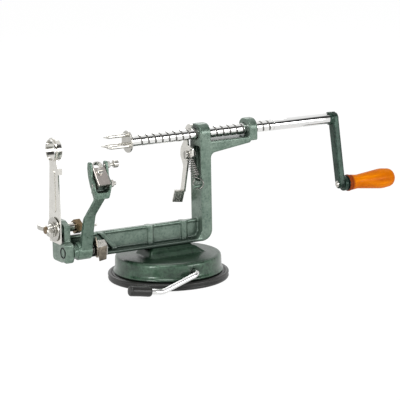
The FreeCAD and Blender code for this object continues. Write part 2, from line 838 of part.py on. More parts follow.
def suction_lever():
    """The bent steel rod that works the pad, its eccentric, its rubber grip and its clip."""
    reach = "-dome_radius - rod_reach"
    low_reach = reach + " - 0.6"
    tail_end = "(grip_left + (grip_end + free_gap) * cos(grip_lift))"
    points = [
        ("0", "rod_end - 1", "lever_height"),
        ("0", reach, "lever_height"),
        ("rod_knee", low_reach, "rod_low"),
        (tail_end, low_reach, "rod_low + (rod_knee - %s) * tan(grip_lift)" % tail_end),
    ]
    corners = [Vector(*[num(t) for t in p]) for p in points]
    bends = [num("rod_dia") * 1.25, num("rod_dia") * 2.2]
    keep(feature("rod_bent", bent_wire(corners, bends, num("rod_dia / 2"))), "lever_rod")
    cam = rod("cam_disc", "Y", "cam_radius", "cam_thick", "0", "-cam_thick / 2", "lever_height + cam_throw")
    hole = rod("cam_hole", "Y", "rod_dia / 2 + 0.01", "cam_thick + 4", "0", "-cam_thick / 2 - 2",
               "lever_height")
    keep(cut("cam_cut", cam, hole), "lever_cam")
    grip = turned("grip_turn", "X", [
        ("0", "0", 0),
        ("0", "grip_dia / 2", "grip_round"),
        ("grip_length", "grip_dia / 2", "grip_round"),
        ("grip_length", "rod_dia / 2 + fit_gap", 0),
        ("grip_end", "rod_dia / 2 + fit_gap", 0),
        ("grip_end", "0", 0),
    ])
    grip.Placement = FreeCAD.Placement(Vector(), FreeCAD.Rotation(Vector(0, 1, 0), num("grip_lift")))
    place(grip, "grip_left", low_reach, "rod_low + (rod_knee - grip_left) * tan(grip_lift)")
    keep(grip, "lever_grip")
    wall_in = "-dome_radius + dome_wall"
    washer = rod("clip_disc", "Y", "rod_dia / 2 + 1.6", "clip_thick", "0", wall_in + " + 1", "lever_height")
    bore = rod("clip_hole", "Y", "rod_dia / 2 + 0.01", "clip_thick + 2", "0", wall_in, "lever_height")
    gap = box("clip_gap", "-clip_mouth / 2", "clip_mouth / 2", "-dome_radius", "-dome_radius + 6",
              "lever_height - 6", "lever_height - 1")
    keep(cut("clip_cut", washer, fuse("clip_tools", [bore, gap])), "lever_clip")


def bent_wire(corners, radii, wire):
    """A round rod along straight runs joined by tangent arcs."""
    edges = []
    start = corners[0]
    for i in range(1, len(corners) - 1):
        back = (corners[i - 1] - corners[i]).normalize()
        ahead = (corners[i + 1] - corners[i]).normalize()
        half = back.getAngle(ahead) / 2
        reach = radii[i - 1] / math.tan(half)
        into, out = corners[i] + back * reach, corners[i] + ahead * reach
        centre = corners[i] + (back + ahead).normalize() * (radii[i - 1] / math.sin(half))
        middle = centre + (corners[i] - centre).normalize() * radii[i - 1]
        edges.append(Part.LineSegment(start, into).toShape())
        edges.append(Part.Arc(into, middle, out).toShape())
        start = out
    edges.append(Part.LineSegment(start, corners[-1]).toShape())
    path = Part.Wire(edges)
    section = Part.Wire([Part.Circle(corners[0], corners[1] - corners[0], wire).toShape()])
    return path.makePipeShell([section], True, False)


def lead_screw():
    """The steel shaft with its helical groove and its thin neck inside the sleeve."""
    tail = "sleeve_right + crank_collar + crank_thick + 0.6"
    blank = turned("screw_blank", "X", [
        ("fork_plate_left + plate_end", "0", 0),
        ("fork_plate_left + plate_end", "shaft_dia / 2", 0.4),
        ("thread_right", "shaft_dia / 2", 0.3),
        ("thread_right", "neck_dia / 2", 0),
        (tail, "neck_dia / 2", 0.4),
        (tail, "0", 0),
    ], SHAFT)
    doc.recompute()
    pitch, radius = num("thread_pitch"), num("shaft_dia / 2")
    tooth = num("lever_left + lever_thick / 2") - pitch / 4
    floor, wide = radius - num("thread_depth"), num("thread_width") / 2
    start = tooth - pitch * math.floor((tooth - num("thread_left") - wide) / pitch)
    length = num("thread_right") - wide - 1.5 - start
    helix = Part.makeHelix(pitch, length, floor)
    narrow, over = wide * num("thread_slope"), radius + 0.4
    section = Part.makePolygon([
        Vector(floor, 0, -narrow),
        Vector(over, 0, -wide),
        Vector(over, 0, wide),
        Vector(floor, 0, narrow),
        Vector(floor, 0, -narrow),
    ])
    groove = Part.Wire(helix).makePipeShell([section], True, True)
    groove.Placement = FreeCAD.Placement(Vector(start, 0, num("shaft_height")), TURN["X"])
    keep(feature("screw_cut", blank.Shape.cut(groove)), "lead_screw")


def shaft_group():
    """The plain sleeve, the three pronged fork and its plate."""
    keep(turned("sleeve_turn", "X", [
        ("thread_right + sleeve_gap", "neck_dia / 2 + free_gap", 0),
        ("thread_right + sleeve_gap", "shaft_dia / 2", 0.4),
        ("sleeve_right", "shaft_dia / 2", 0.2),
        ("sleeve_right", "neck_dia / 2 + free_gap", 0),
    ], SHAFT), "shaft_sleeve")
    keep(turned("plate_turn", "X", [
        ("fork_plate_left", "0", 0),
        ("fork_plate_left", "fork_plate_radius", 0.5),
        ("fork_plate_left + fork_plate_thick", "fork_plate_radius", 0.5),
        ("fork_plate_left + fork_plate_thick", "shaft_dia / 2 + fit_gap", 0),
        ("fork_plate_left + plate_end", "shaft_dia / 2 + fit_gap", 0),
        ("fork_plate_left + plate_end", "0", 0),
    ], SHAFT), "fork_plate")
    prongs = []
    for i in range(3):
        angle = "%d" % (90 + 120 * i)
        y = "prong_circle * cos(%s)" % angle
        z = "shaft_height + prong_circle * sin(%s)" % angle
        prongs.append(turned("prong_%d" % i, "X", [
            ("fork_plate_left - prong_length", "0", 0),
            ("fork_plate_left - prong_length + prong_taper", "prong_radius", 2),
            ("fork_plate_left", "prong_radius", 0),
            ("fork_plate_left", "0", 0),
        ], (y, z)))
    group = doc.addObject("Part::Compound", "prongs")
    group.Links = prongs
    keep(group, "fork_prongs")


def crank():
    """The cast crank arm, its set screw, the handle pin and washer, and the wooden grip."""
    left = "(sleeve_right + 0.1)"
    face = "(sleeve_right + crank_collar)"
    out = "(sleeve_right + crank_collar + crank_thick)"
    pin_y = "(-crank_radius * sin(crank_tilt))"
    pin_z = "(shaft_height - crank_radius * cos(crank_tilt))"
    pin = (pin_y, pin_z)
    half = "crank_width / 2"
    wide = "(crank_width / 2 + crank_flare)"
    arm = slab("crank_bar", "X", face, "crank_thick", [
        ("-crank_width / 2", "-crank_radius - crank_width / 2", half),
        (half, "-crank_radius - crank_width / 2", half),
        (wide, wide + " + crank_flare", wide + " - 0.1"),
        ("-" + wide, wide + " + crank_flare", wide + " - 0.1"),
    ])
    arm.Placement = FreeCAD.Placement(Vector(), FreeCAD.Rotation(Vector(1, 0, 0), -num("crank_tilt")))
    place(arm, "0", "0", "shaft_height")
    arm = soften("crank_bar_soft", arm, "crank_edge", lambda edge: edge.BoundBox.XLength < 1e-4)
    collar = turned("crank_collar_turn", "X", [
        (left, "0", 0),
        (left, "crank_collar_dia / 2", 0.8),
        (face + " + 1", "crank_collar_dia / 2", 0),
        (face + " + 1", "0", 0),
    ], SHAFT)
    boss = turned("crank_boss_turn", "X", [
        (out + " - 1", "0", 0),
        (out + " - 1", "crank_boss_dia / 2", 0),
        (out + " + crank_boss_length", "crank_boss_dia / 2", 0.8),
        (out + " + crank_boss_length", "0", 0),
    ], pin)
    solid = fuse("crank_blank", [arm, collar, boss])
    tools = fuse("crank_tools", [
        rod("crank_bore", "X", "neck_dia / 2 + fit_gap", "crank_collar + crank_thick + 4",
            "sleeve_right - 1", *SHAFT),
        rod("crank_pin_hole", "X", "handle_pin_dia / 2 + fit_gap", "crank_thick + crank_boss_length + 4",
            face + " - 1", *pin),
        rod("set_screw_hole", "Z", "set_screw_radius + fit_gap", "8", face + " + crank_thick / 2", "0",
            "shaft_height + neck_dia / 2 + fit_gap"),
    ])
    keep(cut("crank_cut", solid, tools), "crank_arm")
    keep(rod("set_screw", "Z", "set_screw_radius", "set_screw_length", face + " + crank_thick / 2", "0",
             "shaft_height + neck_dia / 2 + free_gap"), "crank_set_screw")
    start = out + " + crank_boss_length + 0.3"
    pin_end = start + " + wood_length - wood_end - 2"
    bore = "handle_pin_dia / 2 + 0.1"
    keep(turned("pin_turn", "X", [
        (face + " - 1.3", "0", 0),
        (face + " - 1.3", "1.6", 0.8),
        (face + " - fit_gap", "handle_pin_dia / 2 + 0.9", 0.2),
        (face + " - fit_gap", "handle_pin_dia / 2", 0),
        (pin_end, "handle_pin_dia / 2", 0.4),
        (pin_end, "0", 0),
    ], pin), "handle_pin")
    keep(turned("washer_turn", "X", [
        (start, bore, 0),
        (start, "wood_base_dia / 2 - 0.5", 0.2),
        (start + " + handle_washer_thick", "wood_base_dia / 2 - 0.5", 0.2),
        (start + " + handle_washer_thick", bore, 0),
    ], pin), "handle_washer")
    wood_left = start + " + handle_washer_thick + free_gap"
    keep(turned("wood_turn", "X", [
        (wood_left, bore, 0),
        (wood_left, "wood_base_dia / 2", 0.8),
        (start + " + 2.6", "wood_base_dia / 2", 0.6),
        (start + " + 3.0", "wood_base_dia / 2 - 0.9", 0.3),
        (start + " + 4.6", "wood_base_dia / 2 - 0.5", 0.5),
        (start + " + 11", "wood_neck_dia / 2", 14),
        (start + " + wood_length * 0.74", "wood_dia / 2 + 0.3", 22),
        (start + " + wood_length", "wood_dia / 2 - 1.2", "wood_dia * 0.36"),
        (start + " + wood_length", "0", 0),
        (start + " + wood_length - wood_end", "0", 0),
        (start + " + wood_length - wood_end", bore, 0),
    ], pin), "wood_grip")


def peel_arm():
    """The cast peeling arm: hub, curved arm and forked head, drilled for its bolts."""
    hub = turned("arm_hub", "X", [
        ("hub_left", "0", 0),
        ("hub_left", "hub_radius", 0.9),
        ("hub_left + hub_length", "hub_radius", 0.9),
        ("hub_left + hub_length", "0", 0),
    ], PIVOT)
    stem = slab("arm_stem", "X", "arm_left", "arm_width", [
        ("pivot_y - 6.9", "pivot_z", 0),
        ("pivot_y - 8.8", "pivot_z + 10.7", 12),
        ("pivot_y - 14.8", "pivot_z + 31.2", 10),
        ("head_front", "fork_base + 2.5", 0),
        ("head_front", "fork_base + 4", 0),
        ("head_front + head_deep", "fork_base + 4", 0),
        ("head_front + head_deep", "fork_base - 0.8", 2),
        ("pivot_y - 10.2", "pivot_z + 28.7", 6),
        ("pivot_y - 4.2", "pivot_z + 11.7", 8),
        ("pivot_y + 1.2", "pivot_z + 7.2", 0),
        ("pivot_y + 1.2", "pivot_z", 0),
    ])
    stem = soften("arm_stem_soft", stem, "arm_edge", lambda edge: edge.BoundBox.XLength < 1e-4)
    right = "(fork_left + fork_width)"
    inner_left, inner_right = "(fork_left + fork_wall)", "(fork_left + fork_width - fork_wall)"
    front = slab("fork_front", "Y", "head_front - 2", "14", [
        ("arm_left", "fork_base", 2),
        ("fork_left", "fork_base + 9.5", 3),
        ("fork_left", "fork_left_top", 1),
        (inner_left, "fork_left_top", 1),
        (inner_left, "fork_floor", 3),
        (inner_right, "fork_floor", 3),
        (inner_right, "fork_right_top", 1),
        (right, "fork_right_top", 1),
        (right, "fork_base + 9.5", 3),
        ("arm_left + arm_width + 2.2", "fork_base", 2),
    ])
    side = slab("fork_side", "X", "fork_left - 1", "fork_width + 2", [
        ("head_front", "fork_base", 1),
        ("head_front", "fork_base + 7.5", 3),
        ("head_front + 0.8", "cross_z + 2.3", 1.5),
        ("head_front + 4.6", "cross_z + 5.7", 3),
        ("head_front + 5.4", "fork_left_top - 4", 3),
        ("head_front + 6.4", "fork_left_top", 1.5),
        ("head_front + 10.4", "fork_left_top", 2),
        ("head_front + 11.6", "fork_left_top - 5", 3),
        ("head_front + 10.2", "cross_z + 5.5", 8),
        ("head_front + head_deep", "fork_floor + 2", 8),
        ("head_front + head_deep", "fork_base", 1),
    ])
    pin_left = "(arm_left + arm_width - arm_pin_length / 2)"
    head = common("fork_head", [front, side])
    solid = fuse("arm_blank", [hub, stem, head])
    tools = fuse("arm_tools", [
        rod("arm_bore", "X", "pivot_rod_dia / 2 + running_gap", "hub_length + 4", "hub_left - 2", *PIVOT),
        rod("cross_hole", "X", "cross_dia / 2 + fit_gap", "fork_width + 6", "fork_left - 3",
            "cross_y", "cross_z"),
        rod("depth_hole", "X", "depth_dia / 2 + fit_gap", "fork_wall + 4", inner_right + " - 2",
            "depth_y", "depth_z"),
        rod("pin_hole", "X", "arm_pin_radius + fit_gap", "arm_pin_length / 2 + 1", pin_left,
            "arm_pin_y", "arm_pin_z"),
    ])
    keep(cut("arm_cut", solid, tools), "peel_arm")
    keep(rod("arm_pin_rod", "X", "arm_pin_radius", "arm_pin_length", pin_left, "arm_pin_y", "arm_pin_z"),
         "arm_pin")


def arm_hardware():
    """The rod that the arm turns on, its torsion spring, and the bolts and nuts of the head."""
    rod_right = "(far_boss_left + far_boss_length + side_gap + latch_thick + 1.4)"
    keep(turned("pivot_rod_turn", "X", [
        ("end_left", "0", 0),
        ("end_left", "pivot_head_dia / 2", 0.25),
        ("end_left + pivot_head_thick - fit_gap", "pivot_head_dia / 2", 0),
        ("end_left + pivot_head_thick - fit_gap", "pivot_rod_dia / 2", 0),
        (rod_right, "pivot_rod_dia / 2", 0.6),
        (rod_right, "0", 0),
    ], PIVOT), "arm_pivot_rod")
    keep(feature("arm_spring_wire", torsion_spring()), "arm_spring")
    right = "(fork_left + fork_width)"
    keep(turned("cross_turn", "X", [
        ("fork_left - fit_gap", "0", 0),
        ("fork_left - fit_gap", "cross_dia / 2", 0.3),
        (right + " + cross_reach", "cross_dia / 2", 0.3),
        (right + " + cross_reach", "0", 0),
    ], ("cross_y", "cross_z")), "cross_bolt")
    nut_left = right + " + fit_gap"
    for word in ("cross", "depth"):
        spot = (word + "_y", word + "_z")
        nut = hexagon(word + "_hex", word + "_dia / 2 + nut_wall", "nut_thick", nut_left, *spot)
        bore = rod(word + "_thread", "X", word + "_dia / 2 + fit_gap", "nut_thick + 4", nut_left + " - 2",
                   *spot)
        keep(cut(word + "_nut_cut", nut, bore), word + "_nut")
    tip = "(fork_left + (fork_width + yoke_width) / 2 + fit_gap)"
    far = right + " + depth_reach"
    stud = turned("depth_turn", "X", [
        (tip, "0", 0),
        (tip, "depth_dia / 2", 0.3),
        (far + " - depth_head_long", "depth_dia / 2", 0),
        (far + " - depth_head_long", "depth_head_radius", 0.7),
        (far, "depth_head_radius", 1.3),
        (far, "0", 0),
    ], ("depth_y", "depth_z"))
    slot = box("depth_slot", far + " - 1", far + " + 2", "depth_y - depth_head_radius - 1",
               "depth_y + depth_head_radius + 1", "depth_z - slot_half", "depth_z + slot_half")
    keep(cut("depth_cut", stud, slot), "depth_screw")


def torsion_spring():
    """Turns round the pivot rod with a short straight leg at each end."""
    wire, radius = num("arm_spring_wire"), num("arm_spring_radius")
    pitch, turns = num("arm_spring_pitch"), num("arm_spring_turns")
    middle = num("(hub_left + hub_length + far_boss_left - side_gap - latch_thick) / 2")
    centre = Vector(middle - pitch * turns / 2, num("pivot_y"), num("pivot_z"))
    points, tangents = [], []
    for i in range(int(4 * turns) + 1):
        a = math.radians(20 + 90 * i)
        across, up = radius * math.cos(a), radius * math.sin(a)
        points.append(centre + Vector(pitch * i / 4, across, up))
        tangents.append(Vector(pitch / (2 * math.pi), -up, across).normalize())
    leg = num("arm_spring_leg")
    points.insert(0, points[0] - tangents[0] * leg)
    tangents.insert(0, tangents[0])
    points.append(points[-1] + tangents[-1] * leg)
    tangents.append(tangents[-1])
    return wire_tube(points, tangents, wire, "arm_spring")


def blade_head():
    """The plated channel in the fork, the peeling blade behind it and the screw that joins them."""
    wall, deep, high = "yoke_wall", "yoke_deep", "yoke_height"
    channel = slab("yoke_channel", "Z", "0", high, [
        ("0", "0", 0.8),
        ("yoke_width", "0", 0.8),
        ("yoke_width", deep, 0),
        ("yoke_width - yoke_wall", deep, 0),
        ("yoke_width - yoke_wall", wall, 0),
        (wall, wall, 0),
        (wall, deep, 0),
        ("0", deep, 0),
    ])
    screw_hole = rod("yoke_screw_hole", "Y", "blade_screw_radius + fit_gap", "6", "yoke_screw_x", "-2",
                     "yoke_screw_z")
    out, up = "(cross_y - head_front + yoke_ahead)", "(cross_z - yoke_bottom)"
    cross_hole = rod("yoke_cross_hole", "X", "cross_dia / 2 + free_gap", "yoke_width + 6", "-3",
                     out + " * cos(head_lean) - " + up + " * sin(head_lean)",
                     out + " * sin(head_lean) + " + up + " * cos(head_lean)")
    cheeks = slab("yoke_cheeks", "X", "-1", "yoke_width + 2", [
        ("-1", "-1", 0),
        (deep, "0", "yoke_round"),
        (deep, high, "yoke_round"),
        ("-1", high + " + 1", 0),
    ])
    channel = common("yoke_rounded", [channel, cheeks])
    channel = cut("yoke_cut", channel, fuse("yoke_tools", [screw_hole, cross_hole]))
    lean(channel)
    keep(channel, "blade_yoke")
    back = "(yoke_wall + fit_gap)"
    leg_in, leg_out = "(yoke_wall + 0.1)", "(yoke_width - yoke_wall - 0.1)"
    foot = "yoke_screw_z - 3"
    blade = slab("blade_arch", "Y", back, "blade_width", [
        (leg_in, foot, 0),
        (leg_in, "blade_top", "blade_bend"),
        (leg_out, "blade_top", "blade_bend"),
        (leg_out, foot, 0),
        (leg_out + " - blade_thick", foot, 0),
        (leg_out + " - blade_thick", "blade_top - blade_thick", "blade_bend - blade_thick"),
        (leg_in + " + blade_thick", "blade_top - blade_thick", "blade_bend - blade_thick"),
        (leg_in + " + blade_thick", foot, 0),
    ])
    tang = box("blade_tang", leg_in, leg_out, back, back + " + blade_thick", "yoke_screw_z - 5",
               "yoke_height - 0.5")
    tang_hole = rod("tang_hole", "Y", "blade_screw_radius + fit_gap", "6", "yoke_screw_x", "-2",
                    "yoke_screw_z")
    blade = cut("blade_cut", fuse("blade_blank", [tang, blade]), tang_hole)
    lean(blade)
    keep(blade, "peel_blade")
    screw = turned("blade_screw_turn", "Y", [
        ("-1.9", "0", 0),
        ("-1.9", "blade_screw_radius + 1.5", 1.1),
        ("-fit_gap", "blade_screw_radius + 1.5", 0),
        ("-fit_gap", "blade_screw_radius", 0),
        (back + " + blade_thick + 0.8", "blade_screw_radius", 0.2),
        (back + " + blade_thick + 0.8", "0", 0),
    ], ("yoke_screw_x", "yoke_screw_z"))
    slot = box("blade_screw_slot", "yoke_screw_x - 4", "yoke_screw_x + 4", "-3", "-1.3",
               "yoke_screw_z - slot_half", "yoke_screw_z + slot_half")
    screw = cut("blade_screw_cut", screw, slot)
    lean(screw)
    keep(screw, "blade_screw")


def lean(thing):
    """Set a piece of the head, made upright at the origin, into the leaning fork."""
    thing.Placement = FreeCAD.Placement(Vector(), FreeCAD.Rotation(Vector(1, 0, 0), -num("head_lean")))
    place(thing, "fork_left + (fork_width - yoke_width) / 2", "head_front - yoke_ahead", "yoke_bottom")


def arm_latch():
    """The bent steel clip that turns on the pivot rod beside the arm, round the far boss."""
    cheek = [
        ("pivot_y - 6", "pivot_z - 4.9", 0.6),
        ("pivot_y - 2.3", "pivot_z - 4.9", 1),
        ("pivot_y - 0.4", "pivot_z - 3.7", 1),
        ("pivot_y + 3.8", "pivot_z - 3.2", 1),
        ("pivot_y + 3.8", "pivot_z + 2.4", 1),
        ("pivot_y + 7", "pivot_z + 5", 0.4),
        ("pivot_y + 7", "pivot_z + 6.2", 0.4),
        ("pivot_y - 6", "pivot_z + 6.2", 0.6),
    ]
    left = "(far_boss_left - side_gap - latch_thick)"
    right = "(far_boss_left + far_boss_length + side_gap)"
    pieces = [
        slab("latch_left_cheek", "X", left, "latch_thick", cheek),
        slab("latch_right_cheek", "X", right, "latch_thick", cheek),
        box("latch_top", left, right + " + latch_thick", "pivot_y - 6", "pivot_y + 7",
            "pivot_z + 6.2 - latch_thick", "pivot_z + 6.2"),
        slab("latch_tab", "Y", "pivot_y - 6", "latch_thick", [
            (left, "pivot_z + 6.2", 0),
            (left + " + 0.6", "pivot_z - 9.8", 0.8),
            (left + " + 7", "pivot_z - 9.4", 0.8),
            (right + " + latch_thick", "pivot_z - 4", 1.5),
            (right + " + latch_thick", "pivot_z + 6.2", 0),
        ]),
    ]
    bore = rod("latch_bore", "X", "pivot_rod_dia / 2 + running_gap", "far_boss_length + 8", left + " - 2",
               *PIVOT)
    keep(cut("latch_cut", fuse("latch_blank", pieces), bore), "arm_latch")


def release_lever():
    """The steel lever that hooks behind the shaft, with its tooth and ridged finger tab."""
    py, pz = "lever_pivot_y", "lever_pivot_z"
    hook = feature("hook_ring", ring_sector())
    flat = slab("lever_flat", "X", "lever_left", "lever_thick", [
        (py + " - 1.6", pz + " + 12.2", 1),
        (py + " - 1.4", pz + " + 8.6", 2),
        (py + " - 4.6", pz + " + 7.9", 2),
        (py + " - 9.4", pz + " + 7.1", 1.6),
        (py + " - 9.4", pz + " - 1.1", 1.6),
        (py + " - 2.8", pz + " - 1.1", 2),
        (py + " - 0.8", pz + " - 7.5", 5),
        (py + " + 6.4", pz + " - 33", 0.8),
        (py + " + 12.4", pz + " - 33", 0.8),
        (py + " + 6.4", pz + " - 10", 6),
        (py + " + 11.3", pz + " - 2", 5),
        (py + " + 10.4", pz + " + 4.7", 6),
        (py + " + 2.3", pz + " + 14.9", 1),
    ])
    middle = "lever_left + lever_thick / 2"
    tooth = box("lever_tooth", middle + " - tooth_half", middle + " + tooth_half",
                "shaft_dia / 2 - thread_depth + 0.15", "shaft_dia / 2 + hook_gap + 0.6",
                "shaft_height - 0.7", "shaft_height + 0.7")
    tip = "lever_left + lever_thick - tab_reach"
    tab = slab("lever_tab", "Z", "-tab_height", "tab_height", [
        (tip, "2", 0.6),
        ("lever_left + lever_thick", "0", 0.6),
        ("lever_left + lever_thick", "6", 0.6),
        ("lever_left", "6", 0.5),
        ("lever_left", "2.2", 0.8),
        (tip, "3.8", 0.6),
    ])
    ridged = [tab]
    for i in range(int(num("tab_ridges"))):
        run = "%d / tab_ridges * (tab_reach - 3.5)" % i
        ridged.append(rod("tab_ridge_%d" % i, "Z", "0.5", "tab_height - 1.4", tip + " + 1.3 + " + run,
                          "1.8 - 0.21 * " + run, "0.7 - tab_height"))
    tab = fuse("lever_tab_ridged", ridged)
    tab.Placement = FreeCAD.Placement(Vector(), FreeCAD.Rotation(Vector(1, 0, 0), num("tab_lean")))
    place(tab, "0", py + " + 6.4", pz + " - 32")
    pieces = [hook, flat, tooth, tab]
    tools = fuse("lever_tools", [
        rod("lever_pivot_hole", "X", "lever_screw_radius + running_gap", "6", "lever_left - 2", py, pz),
        rod("lever_ear_hole", "X", "spring_wire / 2 + 0.5", "6", "lever_left - 2", "ear_y", "ear_z"),
    ])
    keep(cut("lever_cut", fuse("lever_blank", pieces), tools), "release_lever")


def ring_sector():
    """The hook: a flat ring sector round the shaft, from the neck over the back to the top."""
    inner = num("shaft_dia / 2 + hook_gap")
    outer = inner + num("hook_width")
    start, stop = num("hook_start"), num("hook_stop")
    centre = Vector(num("lever_left"), 0, num("shaft_height"))

    def at(radius, angle):
        a = math.radians(angle)
        return centre + Vector(0, radius * math.cos(a), radius * math.sin(a))

    middle = (start + stop) / 2
    edges = [
        Part.Arc(at(inner, start), at(inner, middle), at(inner, stop)).toShape(),
        Part.LineSegment(at(inner, stop), at(outer, stop)).toShape(),
        Part.Arc(at(outer, stop), at(outer, middle), at(outer, start)).toShape(),
        Part.LineSegment(at(outer, start), at(inner, start)).toShape(),
    ]
    return Part.Face(Part.Wire(edges)).extrude(Vector(num("lever_thick"), 0, 0))


def lever_hardware():
    """The screw that the lever turns on, its tension spring and the spring's anchor."""
    head = "lever_left - screw_head_gap"
    screw = turned("lever_screw_turn", "X", [
        (head + " - 2.1", "0", 0),
        (head + " - 2.1", "lever_screw_radius + 1.9", 1.2),
        (head, "lever_screw_radius + 1.9", 0.2),
        (head, "lever_screw_radius", 0),
        ("column_left + 3", "lever_screw_radius", 0),
        ("column_left + 3", "0", 0),
    ], ("lever_pivot_y", "lever_pivot_z"))
    slot = box("lever_screw_slot", head + " - 3", head + " - 1.4", "lever_pivot_y - slot_half",
               "lever_pivot_y + slot_half", "lever_pivot_z - 5", "lever_pivot_z + 5")
    keep(cut("lever_screw_cut", screw, slot), "lever_screw")
    keep(turned("anchor_turn", "X", [
        ("anchor_left", "0", 0),
        ("anchor_left", "anchor_radius + 0.5", 0.4),
        ("anchor_left + 1.1", "anchor_radius + 0.5", 0.2),
        ("anchor_left + 1.1", "anchor_radius", 0),
        ("column_left + 3.5", "anchor_radius", 0),
        ("column_left + 3.5", "0", 0),
    ], ("anchor_y", "anchor_z")), "spring_anchor")
    keep(feature("release_spring_wire", tension_spring()), "release_spring")


def tension_spring():
    """A coil with an open loop at each end, from the lever's ear down to the anchor."""
    radius = num("(spring_dia - spring_wire) / 2")
    top = Vector(num("spring_top_x"), num("spring_top_y"), num("spring_top_z"))
    low = Vector(num("spring_low_x"), num("spring_low_y"), num("spring_low_z"))
    points, tangents = [], []

    def turn(centre, one, two, size_of, start, stop, drop=Vector()):
        """Quarter turns in the plane of two directions, moving along by drop over the whole run."""
        count = max(1, round(abs(stop - start) / 90))
        sweep = math.radians(stop - start)
        for i in range(count + 1):
            share = i / count
            a = math.radians(start) + sweep * share
            points.append(centre + drop * share + (one * math.cos(a) + two * math.sin(a)) * size_of)
            along = (two * math.cos(a) - one * math.sin(a)) * (size_of * sweep) + drop
            tangents.append(along.normalize())

    loop = num("upper_loop_radius")
    hung = Vector(num("spring_top_x") + 1.3, num("ear_y"), num("ear_z") - loop)
    turn(hung, Vector(1, 0, 0), Vector(0, 0, 1), loop, -40, 250)
    axis = (low - top).normalize()
    across = (Vector(1, 0, 0) - axis * axis.x).normalize()
    aside = axis.cross(across)
    if aside.y < 0:
        aside = aside * -1
    turns = num("spring_turns")
    turn(top, across, aside, radius, 0, 360 * turns - 145, low - top)
    angle = math.radians(num("lower_loop_turn"))
    flat = Vector(math.sin(angle), -math.cos(angle), 0)
    loop = num("lower_loop_radius")
    ring = Vector(num("lower_loop_x"), num("lower_loop_y"), num("lower_loop_z"))
    turn(ring, flat, Vector(0, 0, 1), loop, 90, -215)
    return wire_tube(points, tangents, num("spring_wire"), "release_spring")


def wire_tube(points, tangents, wire, name):
    """One unbroken round wire through the points. Its least gap to itself is printed."""
    edges = []
    for i in range(len(points) - 1):
        edges += biarc(points[i], tangents[i], points[i + 1], tangents[i + 1])
    path = Part.Wire(edges)
    section = Part.Wire([Part.Circle(points[0], tangents[0], wire / 2).toShape()])
    tube = path.makePipeShell([section], True, False)
    radii = [edge.Curve.Radius for edge in edges if hasattr(edge.Curve, "Radius")]
    ideal = math.pi * wire ** 2 / 4 * path.Length
    print(name, "least gap to itself %.2f mm," % least_gap(path, wire), "least radius %.2f mm," % min(radii),
          "volume over section times length %.4f" % (tube.Volume / ideal))
    return tube


def biarc(start, leave, stop, arrive):
    """Two arcs, or a straight run, from one point and direction to another."""
    chord = stop - start
    spread = 2 * (1 - leave.dot(arrive))
    if spread < 1e-9:
        return [Part.LineSegment(start, stop).toShape()]
    both = chord.dot(leave + arrive)
    reach = (math.sqrt(both ** 2 + spread * chord.dot(chord)) - both) / spread
    first, second = start + leave * reach, stop - arrive * reach
    middle = (first + second) * 0.5
    return [arc_along(start, leave, middle), arc_along(middle, (second - first).normalize(), stop)]


def arc_along(start, tangent, stop):
    """The arc that leaves one point along a tangent and ends at another."""
    chord = stop - start
    turn = tangent.getAngle(chord)
    if turn < 1e-5:
        return Part.LineSegment(start, stop).toShape()
    side = (tangent - chord * (tangent.dot(chord) / chord.dot(chord))).normalize()
    middle = (start + stop) * 0.5 + side * (chord.Length / 2 * math.tan(turn / 2))
    return Part.Arc(start, middle, stop).toShape()


def least_gap(path, wire):
    """The smallest space between stretches of wire that lie well apart along it."""
    spots = path.discretize(Distance=wire / 3)
    skip = 12
    count = len(spots)
    closest = min((spots[i] - spots[j]).Length for i in range(count) for j in range(i + skip, count))
    return closest - wire


def slicer():
    """The flat blade that swings on the wing bolt, and the coring ring at its top."""
    left = "(strip_right - strip_thick)"
    shoulder = "(shaft_height - corer_radius - 5)"
    strip = slab("strip_plate", "X", left, "strip_thick", [
        ("-strip_half", "strip_bottom", 0.8),
        ("strip_half", "strip_bottom", 0.8),
        ("strip_half", "bolt_height + 8", 20),
        ("strip_top_half - strip_lean", shoulder, 6),
        ("corer_radius * 0.7", "shaft_height - corer_radius * 0.5", 0),
        ("-corer_radius * 0.7", "shaft_height - corer_radius * 0.5", 0),
        ("-strip_edge", shoulder, 6),
        ("-strip_half", "bolt_height + 8", 20),
    ])
    bead = slab("strip_bead", "X", left + " - bead_rise", "bead_rise + 0.15", [
        ("-bead_half", "bolt_height + 14", "bead_half * 0.94"),
        ("bead_half", "bolt_height + 14", "bead_half * 0.94"),
        ("bead_half", shoulder + " - 2", "bead_half * 0.94"),
        ("-bead_half", shoulder + " - 2", "bead_half * 0.94"),
    ])
    disc = rod("strip_disc", "X", "corer_radius + corer_seat", "strip_thick", left, *SHAFT)
    lip = slab("slicing_lip", "Z", shoulder + " - lip_length", "lip_length", [
        (left, "-strip_edge + 1", 0),
        (left, "-strip_edge - 0.6", 0),
        ("strip_right + lip_reach", "-strip_edge - 1.5", 0),
        ("strip_right", "-strip_edge + 1", 0),
    ])
    tools = fuse("strip_tools", [
        rod("strip_bore", "X", "corer_radius + fit_gap", "6", left + " - 2", *SHAFT),
        rod("strip_hole", "X", "bolt_dia / 2 + free_gap", "6", left + " - 2", "0", "bolt_height"),
    ])
    keep(cut("strip_cut", fuse("strip_blank", [strip, disc, bead, lip]), tools), "slicing_blade")
    keep(turned("corer_turn", "X", [
        (left + " - corer_back", "corer_radius - corer_wall", 0),
        (left + " - corer_back", "corer_radius", 0),
        (left + " - corer_back + corer_length - 0.8", "corer_radius", 0),
        (left + " - corer_back + corer_length", "corer_radius - corer_wall", 0),
    ], SHAFT), "coring_ring")


